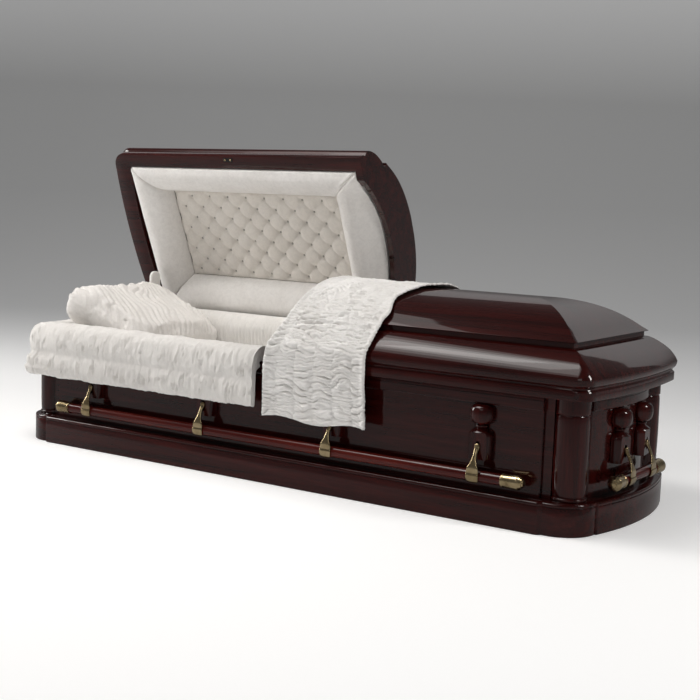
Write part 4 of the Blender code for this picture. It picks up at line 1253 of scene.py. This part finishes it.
# Mattress cover, shirred across with a rounded edge
BED_ACROSS = 420
BED_DOWN = 56
BED_X = PANEL_X - WALL - RAIL_IN - 0.0006 - 0.0135
BED_Y = PANEL_Y - WALL - RAIL_IN - 0.0006 - 0.0135
BED_CUT = 0.83


def bed_point(i, j, top):
    s = 2 * i / BED_ACROSS - 1
    t = 2 * j / BED_DOWN - 1
    s = copysign(1 - (1 - abs(s)) ** 1.06, s)
    straight = s * BED_X
    half_y = BED_Y - max(0.0, abs(straight) - BED_CUT)
    bow = PANEL_BOW * (1 - t * t) * max(0.0, (abs(s) - 0.85) / 0.15)
    x = straight + copysign(bow, s)
    y = t * half_y
    if not top:
        return (x, y, bed_low.z)
    edge = min(BED_X - abs(straight), half_y - abs(y))
    drop = 0.03 * exp(-edge / 0.008)
    folds = 0.0028 * (ridge(x, 0.015, 3.0 * wander(x * 12.0, y * 5.0)) - 0.6)
    return (x, y, bed_high.z + 0.002 - drop + folds + 0.002 * wander(x * 7.0, y * 7.0))


bed_mesh = sheet_mesh("bed", BED_ACROSS, BED_DOWN, bed_point)
soft("mattress_cover", bed_mesh, "cloth_shirred", "case", ["mattress"])

# Roll of the lining behind the bed: a smooth band above, pleats below
ROLL_SECTION = [
    (-0.0175, -0.07), (-0.027, -0.064), (-0.029, -0.025), (-0.0285, 0.018), (-0.018, 0.048), (0.0, 0.067),
    (0.024, 0.071), (0.04, 0.063), (0.046, 0.04), (0.047, 0.0055), (0.03, 0.002), (-0.0125, 0.002),
    (-0.015, -0.03),
]
roll_section = smooth_loop([(PANEL_Y - WALL - RAIL_IN + out, rise) for out, rise in ROLL_SECTION], 6)
roll_out = loop_normals(roll_section)[0]
roll_low, roll_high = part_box("interior_roll")


def roll_ring(x):
    ring = []
    end = min(x - roll_low.x, roll_high.x - x)
    shrink = 0.004 * exp(-end / 0.006)
    for index, (y, rise) in enumerate(roll_section):
        off = -shrink + 0.0014 * wander(x * 12.0, rise * 14.0)
        if 3 < index <= 27:
            pleat = clamp((0.036 - rise) / 0.01)
            off += pleat * (0.0046 * (ridge(x, 0.0155, 2.8 * wander(x * 14.0, rise * 10.0)) - 0.75) + 0.001)
        ring.append((x, y + off * roll_out[index][0], CASE_TOP + rise + off * roll_out[index][1]))
    return ring


roll_rings = [roll_ring(roll_low.x + (roll_high.x - roll_low.x) * share) for share in shares(230)]
roll_mesh = skin("roll", roll_rings)
roll = soft("interior_roll_cover", roll_mesh, "cloth_pleated", "case", ["interior_roll"])
flattened(roll)


# Pillow: blown up by a short cloth simulation, then gathered over its top and seamed round a gusset
PILLOW_HALF_X = 0.208
PILLOW_HALF_Y = 0.25
PILLOW_HALF_Z = 0.038
PILLOW_TILT = radians(21)
PILLOW_CENTRE = Vector((-0.79, 0.002, 0.404))
PILLOW_CAP = 0.026


def pillow_start():
    """A slightly small, flat pillow with rounded corners whose sides pull in between them."""
    rings = []
    for height, grow in ((-1.0, 0.8), (-0.92, 0.93), (-0.5, 0.99), (0.0, 1.0), (0.5, 0.99), (0.92, 0.93),
            (1.0, 0.8)):
        ring = []
        for i in range(72):
            turn = 2 * pi * i / 72
            pull = 1 - 0.022 * (1 + cos(4 * turn))
            cx = powered(cos(turn), 0.34)
            cy = powered(sin(turn), 0.34)
            full = 1.18 - 0.3 * cx * pull
            x = PILLOW_HALF_X * grow * cx * pull
            ring.append((x, PILLOW_HALF_Y * grow * cy * pull, PILLOW_HALF_Z * height * full))
        rings.append(ring)
    return skin("pillow", rings)


def inflated(mesh, voxel, pressure, cap, frames=20):
    """The mesh remeshed and blown up as cloth, with each point's travel limited to the cap."""
    item = linked("inflating", mesh)
    remesh = item.modifiers.new("remesh", "REMESH")
    remesh.mode = "VOXEL"
    remesh.voxel_size = voxel
    start = evaluated(item)
    item.modifiers.clear()
    item.data = start
    before = [vertex.co.copy() for vertex in start.vertices]
    cloth_step = item.modifiers.new("cloth", "CLOTH")
    settings = cloth_step.settings
    settings.use_pressure = True
    settings.uniform_pressure_force = pressure
    settings.quality = 4
    settings.tension_stiffness = 12.0
    settings.effector_weights.gravity = 0.0
    for step in range(1, frames + 1):
        bpy.context.scene.frame_set(step)
    result = evaluated(item)
    for vertex, old in zip(result.vertices, before):
        travel = vertex.co - old
        if travel.length > cap:
            vertex.co = old + travel.normalized() * cap
    bpy.data.objects.remove(item)
    bpy.context.scene.frame_set(1)
    return result


def subdivided(mesh, levels):
    item = linked("dividing", mesh)
    step = item.modifiers.new("divide", "SUBSURF")
    step.levels = levels
    step.render_levels = levels
    result = evaluated(item)
    bpy.data.objects.remove(item)
    return result


pillow_mesh = subdivided(inflated(pillow_start(), 0.0075, 4.0, PILLOW_CAP), 1)


def pillow_gather(point):
    """Folds over the top that fan from the head edge, and the two seams of the gusset round the sides."""
    x, y, z = point
    fan = atan2(y * 0.55, x + 0.62)
    sweep = y * 0.78 + x * 0.36 + 0.1 * fan
    fold = ridge(sweep, 0.021, 6.5 * wander(x * 9.0, y * 9.0, 1.0))
    fine = ridge(sweep, 0.0095, 3.2 * wander(x * 18.0, y * 18.0, 5.0))
    top = clamp((z - 0.012) / 0.018)
    edge = max(abs(x) / PILLOW_HALF_X, abs(y) / PILLOW_HALF_Y)
    near = exp(-max(0.0, 1.0 - edge) / 0.22)
    broken = max(0.0, 0.8 + 1.3 * wander(x * 15.0, y * 15.0, 7.0))
    lump = 0.006 * wander(x * 9.0, y * 9.0, 3.0)
    seam = 0.0045 * bell(z, 0.02, 0.0045) * clamp((edge - 0.86) / 0.08)
    folds = 0.0062 * (fold - 0.6) + 0.0036 * (0.4 + near) * (fine - 0.5)
    return top * (broken * folds + lump) + seam


normals = [vertex.normal.copy() for vertex in pillow_mesh.vertices]
for vertex, normal in zip(pillow_mesh.vertices, normals):
    vertex.co = vertex.co + normal * pillow_gather(vertex.co)
dent = Matrix.Translation(PILLOW_CENTRE) @ Matrix.Rotation(PILLOW_TILT, 4, "Y")
pillow = soft("gathered_pillow", pillow_mesh, "cloth_pillow_painted_shade", "case", ["pillow"], 80.0, dent)
flattened(pillow)

# Cover of the lid support, a soft flap with a rounded top
flap_low, flap_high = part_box("lid_support_cover")
flap_middle_y = (flap_low.y + flap_high.y) / 2
flap_half_y = (flap_high.y - flap_low.y) / 2


def flap_ring(share):
    """Outline of the flap in Y and Z at this share of its thickness."""
    ring = []
    grow = 1 - 0.1 * (2 * share - 1) ** 4
    for part in shares(20):
        turn = pi * part
        top = flap_high.z - 0.03 + 0.03 * abs(sin(turn)) ** 0.8 * grow
        ring.append((powered(cos(turn), 0.8) * flap_half_y * grow, top))
    drop = flap_high.z - 0.034 - flap_low.z
    right = [(-flap_half_y * grow * (1 + 0.05 * sin(9 * part)), flap_high.z - 0.03 - drop * part)
             for part in shares(24)[1:]]
    left = [(-y, z) for y, z in reversed(right)]
    outline = ring + right + left
    x = flap_low.x + (flap_high.x - flap_low.x) * share
    return [(x + 0.0022 * wander(y * 40.0, z * 22.0, share), flap_middle_y + y, z) for y, z in outline]


flap_mesh = skin("flap", [flap_ring(share) for share in (0.0, 0.06, 0.2, 0.5, 0.8, 0.94, 1.0)])
flap = soft("support_cover_flap", flap_mesh, "cloth", "case", ["lid_support_cover"], 60.0)
flattened(flap)

# Hinges: a leaf and a long barrel of knuckles on a pin
HINGE_RADIUS = 0.0045
HINGE_Y = LID_HINGE.y
HINGE_Z = LID_HINGE.z - 0.002
KNUCKLE = 0.05


def hinge_mesh(low, high):
    count = max(1, round((high - low) / KNUCKLE))
    length = (high - low) / count
    profile = [(0.0, low), (0.003, low)]
    for index in range(count):
        start = low + index * length
        profile += [(HINGE_RADIUS - 0.0005, start + 0.0003), (HINGE_RADIUS, start + 0.0009)]
        profile += [(HINGE_RADIUS, start + length - 0.0009), (HINGE_RADIUS - 0.0005, start + length - 0.0003)]
        if index < count - 1:
            profile.append((HINGE_RADIUS - 0.0014, start + length))
    profile += [(0.003, high), (0.0, high)]
    barrel = turned("barrel", profile, 24)
    barrel.transform(Matrix.Translation((0.0, HINGE_Y, HINGE_Z)) @ Matrix.Rotation(pi / 2, 4, "Y"))
    back = RAIL_Y + NOTCH_GAP
    face = [(back, -0.018), (back + 0.0018, -0.018), (back + 0.0018, -0.0095)]
    face += [(HINGE_Y - 0.001, -0.004), (HINGE_Y - 0.003, -0.0012), (back, -0.006)]
    leaf = [[(x, y, HINGE_Z + rise) for y, rise in face] for x in (low + 0.001, high - 0.001)]
    return joined("hinge", [barrel, skin("leaf", leaf)])


for name in ("head_hinge", "foot_hinge"):
    low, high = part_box(name)
    put("knuckled_" + name, hinge_mesh(low.x, high.x), "brass_x", "case", [name], sharp=35.0)

# Catch plate on the open lid's front rim, a dark plate with two screws, and the catch below the foot lid
catch_low, catch_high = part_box("catch_plate")
PLATE_X = (catch_low.x + catch_high.x) / 2
PLATE_Y = -LID_HALF_Y + 0.0165
PLATE_TOP = LID_BOTTOM - 0.0012
CATCH_X = 0.526
plate_low = (PLATE_X - 0.02, PLATE_Y - 0.0065, PLATE_TOP)
plate = block("plate", plate_low, (PLATE_X + 0.02, PLATE_Y + 0.0065, LID_BOTTOM - 0.0001))
put("strike_plate", plate, "dark", "head_lid_body", ["catch_plate"], matrix=SWUNG, round_edge=0.0005)
SCREW = [(0.0, 0.0), (0.0034, 0.0), (0.0034, -0.0004), (0.0026, -0.0013), (0.0012, -0.0017), (0.0, -0.0018)]
screws = [moved(turned("screw", SCREW, 20), Matrix.Translation((PLATE_X + offset, PLATE_Y, PLATE_TOP)))
          for offset in (-0.0115, 0.0115)]
put("strike_plate_screws", joined("screws", screws), "brass", "head_lid_body", matrix=SWUNG, sharp=50.0)
KEEPER = under(CASE_TOP, [(-0.0055, 0.0002), (0.0055, 0.0002), (0.003, 0.0052), (0.0008, 0.0062)])
keeper_rings = [[(CATCH_X + x, -RAIL_Y + y, z) for x, z in KEEPER] for y in (-0.0016, 0.001)]
put("lid_catch", skin("keeper", keeper_rings), "dark", "case", round_edge=0.0003)

# Floor that sweeps up into a low backdrop square to the camera, lights and camera
CAMERA_HEADING = radians(33.36)
SWEEP_DEEP = 5.0
SWEEP_RADIUS = 1.6
SWEEP_TOP = 4.6
sweep = [(-7.0, 0.0), (-3.0, 0.0), (-1.0, 0.0), (1.0, 0.0), (3.0, 0.0)]
for share in shares(24):
    turn = pi / 2 * share
    sweep.append((SWEEP_DEEP + SWEEP_RADIUS * sin(turn), SWEEP_RADIUS * (1 - cos(turn))))
sweep.append((SWEEP_DEEP + SWEEP_RADIUS, SWEEP_TOP))
stage_rows = [[(x, deep, high - 0.0005) for deep, high in sweep] for x in (-8.0, 8.0)]
floor = linked("studio_floor", skin("studio_floor", stage_rows, closed=False))
floor.rotation_euler = (0.0, 0.0, CAMERA_HEADING)
floor.data.shade_smooth()
made, tree, shader = material("pale_floor")
place = node(tree, "SeparateXYZ", {"Vector": node(tree, "TexCoord").outputs["Object"]}).outputs
reach = node(tree, "Math", {0: place["Y"], 1: place["Z"]}, operation="ADD").outputs["Value"]
deep_share = node(tree, "MapRange", {"Value": reach, "From Min": -4.0, "From Max": 11.0}).outputs["Result"]
# Painted light and shade on the stage: the floor's colour is graded darker and its glow graded along the
# sweep as a painted backdrop gradient, and glossy rays see a darker colour and glow, which paints darker
# reflections in the lacquer
floor_stops = ((0.0, 0.86), (0.26, 0.8), (0.43, 0.62), (0.62, 0.35), (0.75, 0.2))
glow_stops = ((0.11, 0.38), (0.29, 0.26), (0.45, 0.26), (0.6, 0.22), (0.82, 0.15), (0.9, 0.34), (1.0, 0.52))
mirrored_stops = ((0.11, 0.1), (0.6, 0.07), (0.82, 0.1), (0.9, 0.34), (1.0, 0.52))
mirrored_ray = node(tree, "LightPath").outputs["Is Glossy Ray"]
glossy_dimming = node(tree, "MapRange", {"Value": mirrored_ray, "To Min": 1.0, "To Max": 0.42}).outputs["Result"]
glow, glow_mirrored = (ramp(tree, deep_share, stops) for stops in (glow_stops, mirrored_stops))
glow_tone = node(tree, "Mix", {0: mirrored_ray, 6: glow, 7: glow_mirrored}, data_type="RGBA").outputs[2]
wire(tree, shader, {
    "Base Color": multiplied(tree, ramp(tree, deep_share, floor_stops), glossy_dimming),
    "Emission Color": glow_tone, "Emission Strength": 1.0, "Roughness": 0.7, "Specular IOR Level": 0.1,
})
floor.data.materials.append(made)

LIGHTS = (
    ("overhead_softbox_1", (-0.62, -0.9, 2.88), (-0.3, -0.2, 0.4), (0.9, 0.55), 4.5),
    ("overhead_softbox_2", (-0.65, -0.92, 2.92), (-0.3, -0.2, 0.4), (1.6, 1.0), 13.0),
    ("overhead_softbox_3", (-0.72, -0.95, 2.96), (-0.3, -0.2, 0.4), (2.4, 1.45), 19.0),
    ("overhead_softbox_4", (-0.85, -0.98, 3.0), (-0.3, -0.2, 0.4), (3.3, 1.9), 26.0),
    ("left_softbox", (-3.9, -1.0, 1.9), (-0.3, 0.0, 0.5), (1.1, 2.0), 82.0),
    ("front_fill", (0.9, -4.6, 3.4), (0.0, 0.0, 0.3), (2.6, 1.2), 12.0),
    ("right_glint", (3.3, 0.2, 2.3), (1.0, -0.1, 0.35), (0.6, 0.8), 38.0),
)
for name, place, target, size, power in LIGHTS:
    lamp = bpy.data.lights.new(name, "AREA")
    lamp.shape = "RECTANGLE"
    lamp.size, lamp.size_y = size
    lamp.energy = power
    lamp.color = (1.0, 0.975, 0.95)
    item = linked(name, lamp)
    item.location = place
    item.visible_camera = False
    item.rotation_euler = (Vector(target) - Vector(place)).to_track_quat("-Z", "Y").to_euler()

world = bpy.data.worlds.new("studio")
world.use_nodes = True
tree = world.node_tree
direction = node(tree, "TexCoord").outputs["Generated"]
height = node(tree, "SeparateXYZ", {"Vector": direction}).outputs["Z"]
sky_share = node(tree, "MapRange", {"Value": height, "From Min": -0.1, "From Max": 0.9}).outputs["Result"]
sky = ramp(tree, sky_share, ((0.0, 0.3), (0.3, 0.085), (1.0, 0.07)))
wire(tree, tree.nodes["Background"], {"Color": sky, "Strength": 1.0})
bpy.context.scene.world = world
bpy.context.scene.view_settings.view_transform = "Standard"

CAMERA_PLACE = (2.3075, -3.379, 0.859)
CAMERA_PITCH = radians(-6.715)
CAMERA_ROLL = radians(2.142)
camera_data = bpy.data.cameras.new("camera")
camera_data.lens = 66.345
camera_data.sensor_width = 36.0
camera_data.dof.use_dof = False
camera = linked("camera", camera_data)
aim = Matrix.Rotation(CAMERA_HEADING, 4, "Z") @ Matrix.Rotation(pi / 2 + CAMERA_PITCH, 4, "X")
camera.matrix_world = Matrix.Translation(CAMERA_PLACE) @ aim @ Matrix.Rotation(CAMERA_ROLL, 4, "Z")
bpy.context.scene.camera = camera

bpy.context.view_layer.update()
